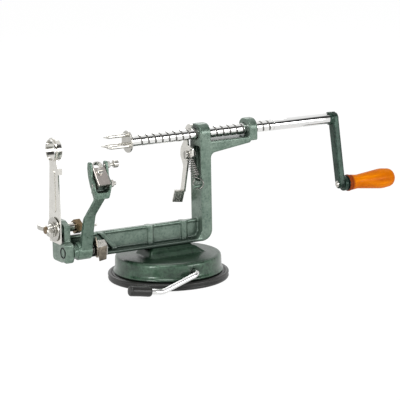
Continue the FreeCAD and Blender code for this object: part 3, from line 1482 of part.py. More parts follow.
def wing_bolt():
    """What clamps the slicing blade: bolt, spacer, two washers and the wing nut."""
    spot = ("0", "bolt_height")
    seat = "(strip_right - strip_thick - bead_rise - free_gap"
    large = seat + " - washer_thick)"
    small = seat + " - free_gap - 2 * washer_thick)"
    nut = seat + " - 2 * free_gap - 2 * washer_thick)"
    hole = "bolt_dia / 2 + free_gap"
    for name, start in (("large_washer", large), ("small_washer", small)):
        radius = name + "_dia / 2"
        keep(turned(name + "_turn", "X", [
            (start, hole, 0),
            (start, radius, 0.3),
            (start + " + washer_thick", radius, 0.3),
            (start + " + washer_thick", hole, 0),
        ], spot), name)
    hub = turned("wing_hub", "X", [
        (nut + " - wing_hub_length", hole, 0),
        (nut + " - wing_hub_length", "wing_hub_radius - 1.2", 0.6),
        (nut, "wing_hub_radius", 0.4),
        (nut, hole, 0),
    ], spot)
    base = "(%s - 1)" % nut
    wings = slab("wing_ears", "Z", "-wing_thick / 2", "wing_thick", [
        (base, "-wing_hub_radius + 1.6", 0),
        (base, "wing_hub_radius - 1.6", 0),
        (base + " - 0.6", "wing_hub_radius - 0.6", 0.6),
        (base + " - 1.6", "wing_reach - 3.2", 2),
        (base + " - wing_out + 3.8", "wing_reach", 1.5),
        (base + " - wing_out", "wing_reach - 0.5", 1.5),
        (base + " - wing_out - 0.4", "wing_reach - 5", 2),
        (base + " - wing_out + 1.6", "3.4", 1.5),
        (base + " - wing_out + 1.6", "-3.4", 1.5),
        (base + " - wing_out - 0.4", "-wing_reach + 5", 2),
        (base + " - wing_out", "-wing_reach + 0.5", 1.5),
        (base + " - wing_out + 3.8", "-wing_reach", 1.5),
        (base + " - 1.6", "-wing_reach + 3.2", 2),
        (base + " - 0.6", "-wing_hub_radius + 0.6", 0.6),
    ])
    wings.Placement = FreeCAD.Placement(Vector(), FreeCAD.Rotation(Vector(1, 0, 0), num("wing_tilt")))
    place(wings, "0", "0", "bolt_height")
    bore = rod("wing_bore", "X", hole, "20", nut + " - 15", *spot)
    keep(cut("wing_cut", fuse("wing_blank", [hub, wings]), bore), "wing_nut")
    shank = turned("bolt_shank", "X", [
        (nut + " - wing_hub_length - 1.6", "0", 0),
        (nut + " - wing_hub_length - 1.6", "bolt_dia / 2", 0.6),
        ("end_right + spacer_length + 0.3", "bolt_dia / 2", 0),
        ("end_right + spacer_length + 0.3", "0", 0),
    ], spot)
    head = hexagon("bolt_hex", "bolt_head_radius", "bolt_head_height", "end_right + spacer_length + 0.04",
                   *spot)
    keep(fuse("wing_bolt_solid", [shank, head]), "wing_bolt")
    keep(turned("spacer_turn", "X", [
        ("end_right + fit_gap", hole, 0),
        ("end_right + fit_gap", "spacer_radius", 0.3),
        ("end_right + fit_gap + spacer_length", "spacer_radius", 0.3),
        ("end_right + fit_gap + spacer_length", hole, 0),
    ], spot), "bolt_spacer")


def frame_screws():
    """Two screws from under the pedestal up into the frame's ribs."""
    screws = []
    seat = "(dome_top - dome_wall - fit_gap)"
    tip = "flange_bottom + frame_screw_grip - 0.5"
    for spot in ("rib_left", "rib_right"):
        screws.append(turned("screw_" + spot, "Z", [
            ("0", seat + " - screw_head_high", 0),
            ("frame_screw_radius + 1.8", seat + " - screw_head_high", 0.6),
            ("frame_screw_radius + 1.8", seat, 0),
            ("frame_screw_radius", seat, 0),
            ("frame_screw_radius", tip, 0.3),
            ("0", tip, 0),
        ], (spot, "0")))
    group = doc.addObject("Part::Compound", "frame_screw_pair")
    group.Links = screws
    keep(group, "frame_screws")


frame_casting()
base_dome()
suction_pad()
suction_lever()
lead_screw()
shaft_group()
crank()
peel_arm()
arm_hardware()
blade_head()
arm_latch()
release_lever()
lever_hardware()
slicer()
wing_bolt()
frame_screws()
doc.recompute()

faults = [thing.Name for thing in doc.Objects if "Invalid" in thing.State or "Error" in thing.State]
faults += [thing.Label for thing in kept if thing.Shape.isNull() or not thing.Shape.isValid()]
if faults:
    raise SystemExit("These did not build: " + ", ".join(faults))
os.makedirs("parts", exist_ok=True)
for thing in kept:
    thing.Shape.exportStep("parts/%s.step" % thing.Label)
print(len(kept), "pieces written")
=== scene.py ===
import json
import math

import bpy
from mathutils import Matrix, Vector

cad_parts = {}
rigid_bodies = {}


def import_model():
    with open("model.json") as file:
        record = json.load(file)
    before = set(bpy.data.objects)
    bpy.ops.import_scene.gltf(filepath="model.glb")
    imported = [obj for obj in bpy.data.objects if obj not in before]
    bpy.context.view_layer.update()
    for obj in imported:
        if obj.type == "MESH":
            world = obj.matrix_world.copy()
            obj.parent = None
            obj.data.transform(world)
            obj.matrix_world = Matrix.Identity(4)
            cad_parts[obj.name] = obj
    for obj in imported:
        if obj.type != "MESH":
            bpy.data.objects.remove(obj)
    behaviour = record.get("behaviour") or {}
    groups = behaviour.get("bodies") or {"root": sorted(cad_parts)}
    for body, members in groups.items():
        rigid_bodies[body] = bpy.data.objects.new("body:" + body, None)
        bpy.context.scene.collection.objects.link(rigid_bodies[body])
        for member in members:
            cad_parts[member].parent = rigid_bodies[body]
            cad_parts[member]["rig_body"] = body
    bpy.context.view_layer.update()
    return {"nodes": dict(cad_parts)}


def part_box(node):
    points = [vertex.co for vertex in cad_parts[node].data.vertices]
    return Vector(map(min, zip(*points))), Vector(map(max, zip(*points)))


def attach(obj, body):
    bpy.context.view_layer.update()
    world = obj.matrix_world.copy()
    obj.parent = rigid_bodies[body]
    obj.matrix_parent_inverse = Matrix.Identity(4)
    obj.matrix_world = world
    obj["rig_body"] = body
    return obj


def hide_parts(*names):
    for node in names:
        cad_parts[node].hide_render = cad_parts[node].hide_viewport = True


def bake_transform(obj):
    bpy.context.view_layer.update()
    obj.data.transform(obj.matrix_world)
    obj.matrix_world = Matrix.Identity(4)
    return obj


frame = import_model()
nodes = frame["nodes"]
bpy.ops.object.select_all(action="DESELECT")
MM = 0.001


def spot_of(node):
    """Lowest and highest corner of a solid, in millimetres."""
    low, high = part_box(node)
    return Vector(low) / MM, Vector(high) / MM


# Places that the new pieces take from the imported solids, in millimetres
FRAME_LOW = spot_of("frame_casting")[0]
ROD_LOW, ROD_HIGH = spot_of("arm_pivot_rod")
PIVOT_Y = (ROD_LOW.y + ROD_HIGH.y) / 2
PIVOT_Z = (ROD_LOW.z + ROD_HIGH.z) / 2
SPACER_LOW, SPACER_HIGH = spot_of("bolt_spacer")
BOLT_Z = (SPACER_LOW.z + SPACER_HIGH.z) / 2
END_LEFT = ROD_LOW.x
END_RIGHT = SPACER_LOW.x
SCREW_LOW, SCREW_HIGH = spot_of("lead_screw")
SHAFT_Z = (SCREW_LOW.z + SCREW_HIGH.z) / 2
SHAFT_RADIUS = (SCREW_HIGH.z - SCREW_LOW.z) / 2
PEDESTAL_RISE = 7.9
DOME_TOP = spot_of("base_dome")[1].z - PEDESTAL_RISE

# The photograph's camera, solved from the object's known sizes: lens, place and turn
LENS = 189.91
SENSOR = 36
CAMERA_PLACE = Vector((-823.8, -1518.53, 422.56))
CAMERA_RIGHT = Vector((0.869236, -0.494066, -0.018099))
CAMERA_UP = Vector((0.115315, 0.167009, 0.979189))


# Camera, floor and light

def aim_camera():
    """The photograph's own view: a long lens from the front left, a little above, tilted one degree."""
    data = bpy.data.cameras.new("photo_camera")
    data.lens = LENS
    data.sensor_width = SENSOR
    data.clip_end = 20
    camera = bpy.data.objects.new("photo_camera", data)
    turn = Matrix((CAMERA_RIGHT, CAMERA_UP, CAMERA_RIGHT.cross(CAMERA_UP))).transposed()
    camera.matrix_world = Matrix.Translation(CAMERA_PLACE * MM) @ turn.to_4x4()
    bpy.context.scene.collection.objects.link(camera)
    bpy.context.scene.camera = camera


def soft_box(name, place, target, width, height, watts):
    """A flat studio lamp that faces a point."""
    data = bpy.data.lights.new(name, "AREA")
    data.shape = "RECTANGLE"
    data.size = width
    data.size_y = height
    data.energy = watts
    lamp = bpy.data.objects.new(name, data)
    away = Vector(place) - Vector(target)
    lamp.location = place
    lamp.rotation_euler = away.to_track_quat("Z", "Y").to_euler()
    bpy.context.scene.collection.objects.link(lamp)


def linear(code):
    """A linear colour from an sRGB hex code."""
    parts = [int(code[i:i + 2], 16) / 255 for i in (1, 3, 5)]
    return [c / 12.92 if c <= 0.04045 else ((c + 0.055) / 1.055) ** 2.4 for c in parts] + [1]


def result(node):
    """The output of a node that its settings leave in use."""
    return next(output for output in node.outputs if output.enabled)


def add(tree, kind, inputs=None, **settings):
    """One shader node with its settings. An input is a number, a hex colour, a node or a node's output."""
    made = tree.nodes.new("ShaderNode" + kind)
    for name, value in settings.items():
        setattr(made, name, value)
    for name, value in (inputs or {}).items():
        if isinstance(value, bpy.types.Node):
            value = result(value)
        if isinstance(value, bpy.types.NodeSocket):
            tree.links.new(value, made.inputs[name])
        else:
            made.inputs[name].default_value = linear(value) if isinstance(value, str) else value
    return made


def seen_in_gloss(tree, path):
    """One for a ray that a shiny or clear surface sends on, and nought for the others."""
    return add(tree, "Math", {0: path.outputs["Is Glossy Ray"], 1: path.outputs["Is Transmission Ray"]},
               operation="MAXIMUM")


def set_surround():
    """White walls. Reflections see the dark gap between the front lamp bank and the overhead one."""
    world = bpy.data.worlds.new("white_surround")
    bpy.context.scene.world = world
    world.use_nodes = True
    tree = world.node_tree
    tree.nodes.clear()
    wall_light = 0.42
    gap_light = 0.06
    path = add(tree, "LightPath")
    axes = add(tree, "SeparateXYZ", {0: add(tree, "TexCoord").outputs["Generated"]})
    above = add(tree, "MapRange", {"Value": axes.outputs["Z"], "From Min": 0.30, "From Max": 0.36})
    below = add(tree, "MapRange", {"Value": axes.outputs["Z"], "From Min": 0.76, "From Max": 0.86,
                                   "To Min": 1.0, "To Max": 0.0})
    front = add(tree, "MapRange", {"Value": axes.outputs["Y"], "From Min": 0.1, "From Max": -0.3})
    gap = add(tree, "Math", {0: above, 1: below}, operation="MULTIPLY")
    gap = add(tree, "Math", {0: gap, 1: front}, operation="MULTIPLY")
    mirrored = add(tree, "MapRange", {"Value": gap, "To Min": 1.0, "To Max": gap_light})
    unseen = add(tree, "Mix", {0: seen_in_gloss(tree, path), 2: wall_light, 3: mirrored}, data_type="FLOAT")
    strength = add(tree, "Mix", {0: path.outputs["Is Camera Ray"], 2: unseen, 3: 1.0}, data_type="FLOAT")
    background = add(tree, "Background", {"Color": "#ffffff", "Strength": strength})
    add(tree, "OutputWorld", {"Surface": background})


def set_table():
    """A white seamless table that shows the object's shadow softly."""
    bpy.ops.mesh.primitive_plane_add(size=6)
    floor = bpy.context.object
    floor.name = "table_floor"
    material = bpy.data.materials.new("white_table")
    material.use_nodes = True
    tree = material.node_tree
    tree.nodes.clear()
    glow_in_view = 0.91
    glow_in_gloss = 0.45
    path = add(tree, "LightPath")
    share = add(tree, "MapRange", {"Value": seen_in_gloss(tree, path), "To Max": glow_in_gloss})
    share = add(tree, "Mix", {0: path.outputs["Is Camera Ray"], 2: share, 3: glow_in_view},
                data_type="FLOAT")
    matt = add(tree, "BsdfDiffuse", {"Color": "#fbfbfa"})
    glow = add(tree, "Emission", {"Color": "#ffffff", "Strength": 1.05})
    both = add(tree, "MixShader", {0: share, 1: matt, 2: glow})
    add(tree, "OutputMaterial", {"Surface": both})
    floor.data.materials.append(material)
    bpy.ops.object.select_all(action="DESELECT")


def set_lamps():
    """Two lamps at the front, one low at the left end and one behind, in metres and watts."""
    middle = (0.0, 0.0, 0.08)
    left_end = (-0.1, 0.0, 0.05)
    soft_box("key_lamp", (-0.55, -0.75, 1.25), middle, width=0.7, height=0.5, watts=9)
    soft_box("front_lamp", (0.75, -1.35, 0.35), middle, width=0.7, height=0.5, watts=7)
    soft_box("end_lamp", (-0.42, -0.22, 0.13), left_end, width=0.12, height=0.12, watts=0.7)
    soft_box("back_lamp", (0.3, 1.1, 0.95), middle, width=1.0, height=0.4, watts=5)


# Materials. Patterns are sized in millimetres on the object's own coordinates.

def start_material(name):
    """An empty node material with its surface shader and the object's own coordinates."""
    material = bpy.data.materials.new(name)
    material.use_nodes = True
    tree = material.node_tree
    tree.nodes.clear()
    shader = add(tree, "BsdfPrincipled")
    add(tree, "OutputMaterial", {"Surface": shader})
    place = add(tree, "TexCoord").outputs["Object"]
    return material, tree, shader, place


def join_shader(tree, shader, links, **constants):
    """Link some of a shader's inputs to nodes, and set others that are the same all over the surface."""
    for name, node in links.items():
        tree.links.new(result(node), shader.inputs[name])
    for name, value in constants.items():
        shader.inputs[name.replace("_", " ")].default_value = value


def hammer_enamel(name, deep, face, light, grain=1.9, reach=9.0, shine=0.35, flake=0.45, flange=False,
                  shaded_dull_top=None):
    """Hammertone enamel sprayed on a sand casting: its flake turns open skin silvery, and hollows get
    painted shade that mixes the colour towards the deep one.

    Its pebbles are drawn coarser than the real ones, which are too fine to show.
    """
    material, tree, shader, place = start_material(name)
    patch, relief = 11, 0.11
    patches = add(tree, "TexNoise", {"Vector": place, "Scale": 1 / (patch * MM), "Detail": 3.0,
                                     "Roughness": 0.6})
    pebble = add(tree, "TexNoise", {"Vector": place, "Scale": 1 / (grain * MM), "Detail": 3.0,
                                    "Roughness": 0.55})
    # Painted shade: the occlusion node mixes the colour towards the deep colour in hollows and under things.
    hollow = add(tree, "AmbientOcclusion", {"Distance": reach * MM}, samples=6)
    skin = add(tree, "MapRange", {"Value": hollow.outputs["AO"], "From Min": 0.25, "From Max": 0.85})
    coat = {}
    # Painted shade along the frame's bottom flange.
    if flange:
        skin = flange_painted_shade(tree, place, skin)
    # Above the given height the colour takes painted shade, and the coat is thinned.
    if shaded_dull_top:
        height = add(tree, "SeparateXYZ", {0: place}).outputs["Z"]
        edge = {"Value": height, "From Min": (shaded_dull_top - 1.6) * MM, "From Max": shaded_dull_top * MM}
        kept = add(tree, "MapRange", {**edge, "To Min": 1.0, "To Max": 0.45})
        skin = add(tree, "Math", {0: skin, 1: kept}, operation="MULTIPLY")
        coat["Coat Weight"] = add(tree, "MapRange", {**edge, "To Min": shine, "To Max": shine * 0.1})
    mottle = add(tree, "Math", {0: patches, 1: pebble}, operation="ADD")
    share = add(tree, "MapRange", {"Value": mottle, "From Min": 0.78, "From Max": 1.22})
    film = add(tree, "Mix", {0: share, 6: face, 7: light}, data_type="RGBA")
    # deep is the painted shade colour that hollows and covered places take.
    colour = add(tree, "Mix", {0: skin, 6: deep, 7: film}, data_type="RGBA")
    pebbled = add(tree, "Bump", {"Height": pebble, "Strength": 0.55, "Distance": relief * MM})
    gloss = add(tree, "MapRange", {"Value": pebble, "From Min": 0.3, "From Max": 0.7, "To Min": 0.26,
                                   "To Max": 0.42})
    join_shader(tree, shader, {"Base Color": colour, "Roughness": gloss, "Normal": pebbled, **coat},
                Metallic=flake, Specular_IOR_Level=0.2 + shine / 2, Coat_Weight=shine, Coat_Roughness=0.12)
    return material


def flange_painted_shade(tree, place, value):
    """Lower a value along the frame's bottom flange, as painted shade that keeps that strip dark."""
    flange_top = FRAME_LOW.z + 5.4
    strip_end = 27
    shade = 0.08
    axes = add(tree, "SeparateXYZ", {0: place})
    below = add(tree, "MapRange", {"Value": axes.outputs["Z"], "From Min": (flange_top + 1.8) * MM,
                                   "From Max": flange_top * MM})
    inward = add(tree, "MapRange", {"Value": axes.outputs["X"], "From Min": (END_RIGHT + 2) * MM,
                                    "From Max": (END_RIGHT + 6) * MM})
    before = add(tree, "MapRange", {"Value": axes.outputs["X"], "From Min": strip_end * MM,
                                    "From Max": (strip_end - 7) * MM})
    strip = add(tree, "Math", {0: below, 1: inward}, operation="MULTIPLY")
    strip = add(tree, "Math", {0: strip, 1: before}, operation="MULTIPLY")
    kept = add(tree, "MapRange", {"Value": strip, "To Min": 1.0, "To Max": shade})
    return add(tree, "Math", {0: value, 1: kept}, operation="MULTIPLY")


def bare_metal(name, code, rough, grain, relief, dim=0.86):
    """A bare or plated metal: its shade and roughness vary with a grain of some width and relief."""
    material, tree, shader, place = start_material(name)
    fine = add(tree, "TexNoise", {"Vector": place, "Scale": 1 / (grain * MM), "Detail": 4.0})
    full = linear(code)
    dull = [c * dim for c in full[:3]] + [1]
    share = {"Value": fine, "From Min": 0.3, "From Max": 0.7}
    colour = add(tree, "Mix", {0: add(tree, "MapRange", share), 6: dull, 7: full}, data_type="RGBA")
    gloss = add(tree, "MapRange", {**share, "To Min": rough[0], "To Max": rough[1]})
    skin = add(tree, "Bump", {"Height": fine, "Strength": 0.15, "Distance": relief * MM})
    join_shader(tree, shader, {"Base Color": colour, "Roughness": gloss, "Normal": skin}, Metallic=1.0)
    return material


def chrome_plate():
    """Chrome on polished steel: a near mirror, with hardly any grain."""
    return bare_metal("chrome_plate", "#e9e9e8", rough=(0.04, 0.08), grain=6.0, relief=0.003, dim=0.95)


def zinc_plate():
    """Bright zinc on small steel hardware: pale and a little cloudy."""
    return bare_metal("zinc_plated_steel", "#c2c0ba", rough=(0.18, 0.28), grain=3.0, relief=0.01)


def bright_zinc_plate():
    """Fresh zinc on the flat release lever: paler and softer than the small hardware."""
    return bare_metal("bright_zinc_plate", "#dddbd5", rough=(0.2, 0.3), grain=3.0, relief=0.006)


def bright_steel():
    """Bright drawn steel, handled and slightly stained."""
    return bare_metal("bright_lever_steel", "#a9a7a1", rough=(0.16, 0.26), grain=4.0, relief=0.01, dim=0.7)


def ground_stainless():
    """Ground stainless strip and points: clean and bright."""
    return bare_metal("ground_stainless", "#dedcd6", rough=(0.12, 0.2), grain=5.0, relief=0.006, dim=0.9)


def spring_wire():
    """Drawn spring wire: grey, with a hard narrow shine along each turn."""
    return bare_metal("spring_wire_steel", "#8b8a86", rough=(0.1, 0.18), grain=2.0, relief=0.004)


def passivated_steel():
    """Zinc with a yellow passivation, which has gone brown and uneven."""
    return bare_metal("yellow_passivated_steel", "#7d6a50", rough=(0.16, 0.3), grain=2.0, relief=0.02,
                      dim=0.6)


def nickel_plate():
    """Dull nickel on the blade's channel: warm grey and soft."""
    return bare_metal("dull_nickel_plate", "#c3bcb6", rough=(0.14, 0.24), grain=3.0, relief=0.006, dim=0.8)


def shaded_strip_steel():
    """Spring strip darkened as painted shade: brownish grey and patchy."""
    return bare_metal("strip_steel_painted_shade", "#7d766a", rough=(0.2, 0.34), grain=3.0, relief=0.02, dim=0.6)


def blackened_steel():
    """Blackened steel: nearly black, with a dull shine."""
    return bare_metal("blackened_washer_steel", "#2c312e", rough=(0.3, 0.45), grain=2.0, relief=0.01)


def groove_shaded_thread():
    """Bright turned steel with painted shade in the groove, which the distance from the axis tells."""
    material, tree, shader, place = start_material("screw_steel_painted_groove_shade")
    grain, deep, shallow = 0.8, 0.5, 0.12
    axes = add(tree, "SeparateXYZ", {0: place})
    up = add(tree, "Math", {0: axes.outputs["Z"], 1: SHAFT_Z * MM}, operation="SUBTRACT")
    across = add(tree, "CombineXYZ", {1: axes.outputs["Y"], 2: up})
    out = add(tree, "VectorMath", {0: across}, operation="LENGTH")
    land = add(tree, "MapRange", {"Value": out, "From Min": (SHAFT_RADIUS - deep) * MM,
                                  "From Max": (SHAFT_RADIUS - shallow) * MM})
    fine = add(tree, "TexNoise", {"Vector": place, "Scale": 1 / (grain * MM), "Detail": 3.0})
    share = add(tree, "MapRange", {"Value": fine, "From Min": 0.3, "From Max": 0.7})
    bright = add(tree, "Mix", {0: share, 6: "#e2e2e0", 7: "#f2f2f0"}, data_type="RGBA")
    # Painted shade: the groove floor takes a dark grey colour.
    colour = add(tree, "Mix", {0: land, 6: "#8c8b88", 7: bright}, data_type="RGBA")
    gloss = add(tree, "MapRange", {"Value": land, "To Min": 0.5, "To Max": 0.13})
    join_shader(tree, shader, {"Base Color": colour, "Roughness": gloss}, Metallic=1.0)
    return material


def moulded_rubber():
    """Moulded black rubber with a slight shine, a fine skin and a faint dusty bloom."""
    material, tree, shader, place = start_material("moulded_rubber")
    bloom_width, grit, relief = 5, 0.7, 0.1
    bloom = add(tree, "TexNoise", {"Vector": place, "Scale": 1 / (bloom_width * MM), "Detail": 3.0})
    share = add(tree, "MapRange", {"Value": bloom, "From Min": 0.35, "From Max": 0.7})
    colour = add(tree, "Mix", {0: share, 6: "#141513", 7: "#21221f"}, data_type="RGBA")
    fine = add(tree, "TexNoise", {"Vector": place, "Scale": 1 / (grit * MM), "Detail": 2.0})
    skin = add(tree, "Bump", {"Height": fine, "Strength": 0.25, "Distance": relief * MM})
    join_shader(tree, shader, {"Base Color": colour, "Normal": skin}, Roughness=0.38, IOR=1.5)
    return material


def varnished_beech():
    """Turned beech under amber varnish: a few dark streaks along the grip, painted shade in a dark band
    where the grip meets its washer, and a thin clear coat.
    """
    material, tree, shader, place = start_material("varnished_beech")
    streak_width, pore_width, relief = 6, 1.1, 0.1
    stretch = (0.06, 1.0, 1.0)
    grip_end = spot_of("wood_grip")[0].x
    along = add(tree, "Mapping", {"Vector": place, "Scale": stretch})
    grain = add(tree, "TexNoise", {"Vector": along, "Scale": 1 / (streak_width * MM), "Detail": 3.0,
                                   "Roughness": 0.5, "Distortion": 0.3})
    fine = add(tree, "TexNoise", {"Vector": along, "Scale": 1 / (pore_width * MM), "Detail": 3.0})
    share = add(tree, "MapRange", {"Value": grain, "From Min": 0.36, "From Max": 0.6})
    streaks = add(tree, "Mix", {0: share, 6: "#b35400", 7: "#f08c00"}, data_type="RGBA")
    share = add(tree, "MapRange", {"Value": fine, "From Min": 0.3, "From Max": 0.75})
    wood = add(tree, "Mix", {0: share, 6: "#d87000", 7: streaks}, data_type="RGBA")
    axes = add(tree, "SeparateXYZ", {0: place})
    # Painted shade: the grip's end by the washer turns dark brown.
    grip_end_shade = add(tree, "MapRange", {"Value": axes.outputs["X"], "From Min": (grip_end + 3.4) * MM,
                                  "From Max": (grip_end + 5.4) * MM})
    colour = add(tree, "Mix", {0: grip_end_shade, 6: "#8a3a10", 7: wood}, data_type="RGBA")
    skin = add(tree, "Bump", {"Height": fine, "Strength": 0.08, "Distance": relief * MM})
    join_shader(tree, shader, {"Base Color": colour, "Normal": skin}, Roughness=0.42,
                Specular_IOR_Level=0.04, Coat_Weight=0.06, Coat_Roughness=0.16)
    return material


# Modelling steps, in millimetres

def paint(piece, finish):
    """Give a piece one material."""
    piece.data.materials.clear()
    piece.data.materials.append(finish)


def enrol(piece, body, slot, *replaced):
    """Attach a finished piece to the body that it rides on, and hide the solids that it stands for. The slot
    is not used.
    """
    if body:
        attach(piece, body)
    if replaced:
        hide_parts(*replaced)
    bpy.ops.object.select_all(action="DESELECT")


def take_up(piece):
    """Make one piece the only selected and active one."""
    bpy.ops.object.select_all(action="DESELECT")
    piece.select_set(True)
    bpy.context.view_layer.objects.active = piece


def settle(piece):
    """Put a piece's place and turn into its mesh."""
    take_up(piece)
    bpy.ops.object.transform_apply(location=True, rotation=True, scale=True)


def apply_modifier(piece, kind, **settings):
    """Add one modifier and apply it at once."""
    take_up(piece)
    made = piece.modifiers.new(kind.lower(), kind)
    for name, value in settings.items():
        setattr(made, name, value)
    bpy.ops.object.modifier_apply(modifier=made.name)


def copy_solid(node, name):
    """A merged copy of a solid's mesh, to be worked on."""
    piece = bpy.data.objects.new(name, nodes[node].data.copy())
    bpy.context.scene.collection.objects.link(piece)
    take_up(piece)
    bpy.ops.object.mode_set(mode="EDIT")
    bpy.ops.mesh.select_all(action="SELECT")
    bpy.ops.mesh.remove_doubles(threshold=0.001 * MM)
    bpy.ops.object.mode_set(mode="OBJECT")
    return piece


def block(low, high, tilt=0.0, bevel=0.0):
    """A block between two corners, tilted about X round its middle, with rounded edges if bevel is set."""
    low, high = Vector(low), Vector(high)
    bpy.ops.mesh.primitive_cube_add(size=1, location=(low + high) / 2 * MM, rotation=(tilt, 0, 0))
    piece = bpy.context.object
    piece.scale = (high - low) * MM
    settle(piece)
    if bevel:
        apply_modifier(piece, "BEVEL", width=bevel * MM, segments=4)
    return piece


def bar(radius, start, length, y, z):
    """A round bar along X."""
    middle = Vector((start + length / 2, y, z)) * MM
    bpy.ops.mesh.primitive_cylinder_add(vertices=48, radius=radius * MM, depth=length * MM,
                                        location=middle, rotation=(0, math.pi / 2, 0))
    piece = bpy.context.object
    settle(piece)
    return piece


def join_to(piece, others):
    """Add other meshes to a piece."""
    take_up(piece)
    for other in others:
        other.select_set(True)
    bpy.ops.object.join()


def cut_away(piece, cutters):
    """Take other meshes out of a piece."""
    for cutter in cutters:
        apply_modifier(piece, "BOOLEAN", operation="DIFFERENCE", object=cutter, solver="EXACT")
        bpy.data.objects.remove(cutter)


def fettle(piece, voxel, rounds, share):
    """Melt a piece into one skin with soft corners, as a casting is, and thin its faces."""
    apply_modifier(piece, "REMESH", mode="VOXEL", voxel_size=voxel * MM)
    apply_modifier(piece, "SMOOTH", factor=0.5, iterations=rounds)
    apply_modifier(piece, "DECIMATE", ratio=share)
    take_up(piece)
    bpy.ops.object.shade_smooth()


def turned_piece(name, rings, sides, capped=False):
    """A shell turned about Z. Rings are (radius, height) round its section, or from cap to cap."""
    bpy.ops.mesh.primitive_circle_add(vertices=sides, radius=rings[0][0] * MM,
                                      location=(0, 0, rings[0][1] * MM))
    piece = bpy.context.object
    piece.name = name
    settle(piece)
    bpy.ops.object.mode_set(mode="EDIT")
    bpy.ops.mesh.select_all(action="SELECT")
    followers = rings[1:] if capped else rings[1:] + rings[:1]
    for (r0, z0), (r1, z1) in zip(rings, followers):
        bpy.ops.mesh.extrude_edges_move(TRANSFORM_OT_translate={"value": (0, 0, (z1 - z0) * MM)})
        bpy.ops.transform.resize(value=(r1 / r0, r1 / r0, 1), center_override=(0, 0, 0))
    bpy.ops.mesh.select_all(action="SELECT")
    bpy.ops.mesh.remove_doubles(threshold=0.01 * MM)
    bpy.ops.mesh.fill_holes(sides=0)
    bpy.ops.mesh.normals_make_consistent(inside=False)
    bpy.ops.object.mode_set(mode="OBJECT")
    return piece


# A smooth curve cuts inside points that lie sixteen to a turn, so they stand this much further out
CURVE_GAIN = 1.025


def coil_run(centre, one, two, radius, start, stop, drop=Vector()):
    """Points along part of a circle or coil, in degrees, sixteen to a full turn."""
    count = max(2, round(abs(stop - start) / 22.5))
    spots = []
    for i in range(count + 1):
        share = i / count
        a = math.radians(start + (stop - start) * share)
        spots.append(centre + drop * share + (one * math.cos(a) + two * math.sin(a)) * radius * CURVE_GAIN)
    return spots


def wire_piece(name, points, radius):
    """One smooth round wire beside its points, made a mesh."""
    curve = bpy.data.curves.new(name, "CURVE")
    curve.dimensions = "3D"
    curve.bevel_depth = radius * MM
    curve.bevel_resolution = 3
    curve.use_fill_caps = True
    spline = curve.splines.new("NURBS")
    spline.points.add(len(points) - 1)
    for point, place in zip(spline.points, points):
        point.co = (*(Vector(place) * MM), 1)
    spline.order_u = 4
    spline.use_endpoint_u = True
    spline.resolution_u = 2
    piece = bpy.data.objects.new(name, curve)
    bpy.context.scene.collection.objects.link(piece)
    take_up(piece)
    bpy.ops.object.convert(target="MESH")
    bpy.ops.object.shade_smooth()
    return bpy.context.object


def sheet(outline, thick, place, turn):
    """A flat plate with softened edges from an outline, turned and then placed."""
    edge = 0.2
    curve = bpy.data.curves.new("sheet", "CURVE")
    curve.dimensions = "2D"
    curve.fill_mode = "BOTH"
    curve.extrude = (thick / 2 - edge) * MM
    curve.bevel_depth = edge * MM
    curve.bevel_resolution = 2
    curve.offset = -edge * MM
    spline = curve.splines.new("POLY")
    spline.points.add(len(outline) - 1)
    for point, (u, v) in zip(spline.points, outline):
        point.co = (u * MM, v * MM, 0, 1)
    spline.use_cyclic_u = True
    piece = bpy.data.objects.new("sheet", curve)
    bpy.context.scene.collection.objects.link(piece)
    take_up(piece)
    bpy.ops.object.convert(target="MESH")
    piece = bpy.context.object
    piece.rotation_euler = turn
    piece.location = Vector(place) * MM
    settle(piece)
    bpy.ops.object.mode_set(mode="EDIT")
    bpy.ops.mesh.select_all(action="SELECT")
    bpy.ops.mesh.remove_doubles(threshold=0.001 * MM)
    bpy.ops.mesh.normals_make_consistent(inside=False)
    bpy.ops.object.mode_set(mode="OBJECT")
    return piece


# Castings

def cast_frame(finish):
    """The frame: a flat end block round the pivot, a lug that slopes to the front, and soft corners."""
    piece = copy_solid("frame_casting", "frame_skin")
    front = PIVOT_Y - 5.0
    crown = BOLT_Z + 6.6
    brow = BOLT_Z + 3.9
    slope = math.radians(22)
    recess = 4.35
    clear = 12
    proud = 0.1
    top_cut = block((END_LEFT - 2, -3, crown), (END_RIGHT + 2, 14, crown + clear))
    front_cut = block((END_LEFT - 2, -16, brow), (END_RIGHT + 2, -2, brow + clear), tilt=slope)
    knuckle_cut = block((END_LEFT - 1, front - 8, 20), (END_RIGHT + 0.2, front, 50))
    cut_away(piece, [top_cut, front_cut, knuckle_cut, bar(recess, END_LEFT - 1, 2.2, PIVOT_Y, PIVOT_Z)])
    end_block = block((END_LEFT - proud, front, PIVOT_Z - 8.4), (END_RIGHT, -4, PIVOT_Z + 6.4), bevel=1.4)
    cut_away(end_block, [bar(recess, END_LEFT - 1, 2.2, PIVOT_Y, PIVOT_Z)])
    join_to(piece, [end_block])
    fettle(piece, voxel=0.5, rounds=3, share=0.45)
    paint(piece, finish)
    enrol(piece, "frame", "green_paint", "frame_casting")


def cast_foot(finish):
    """The foot: its pedestal runs into the dome with a wide hollow corner."""
    piece = copy_solid("base_dome", "foot_skin")
    corner = 13.6
    half = 1.9
    for side in (-1, 1):
        middle = side * corner
        wedge = block((-22, middle - half, DOME_TOP - 2.2), (23, middle + half, DOME_TOP + 1.6),
                      tilt=math.pi / 4)
        join_to(piece, [wedge])
    fettle(piece, voxel=0.7, rounds=16, share=0.5)
    paint(piece, finish)
    enrol(piece, "frame", "dome_paint", "base_dome")


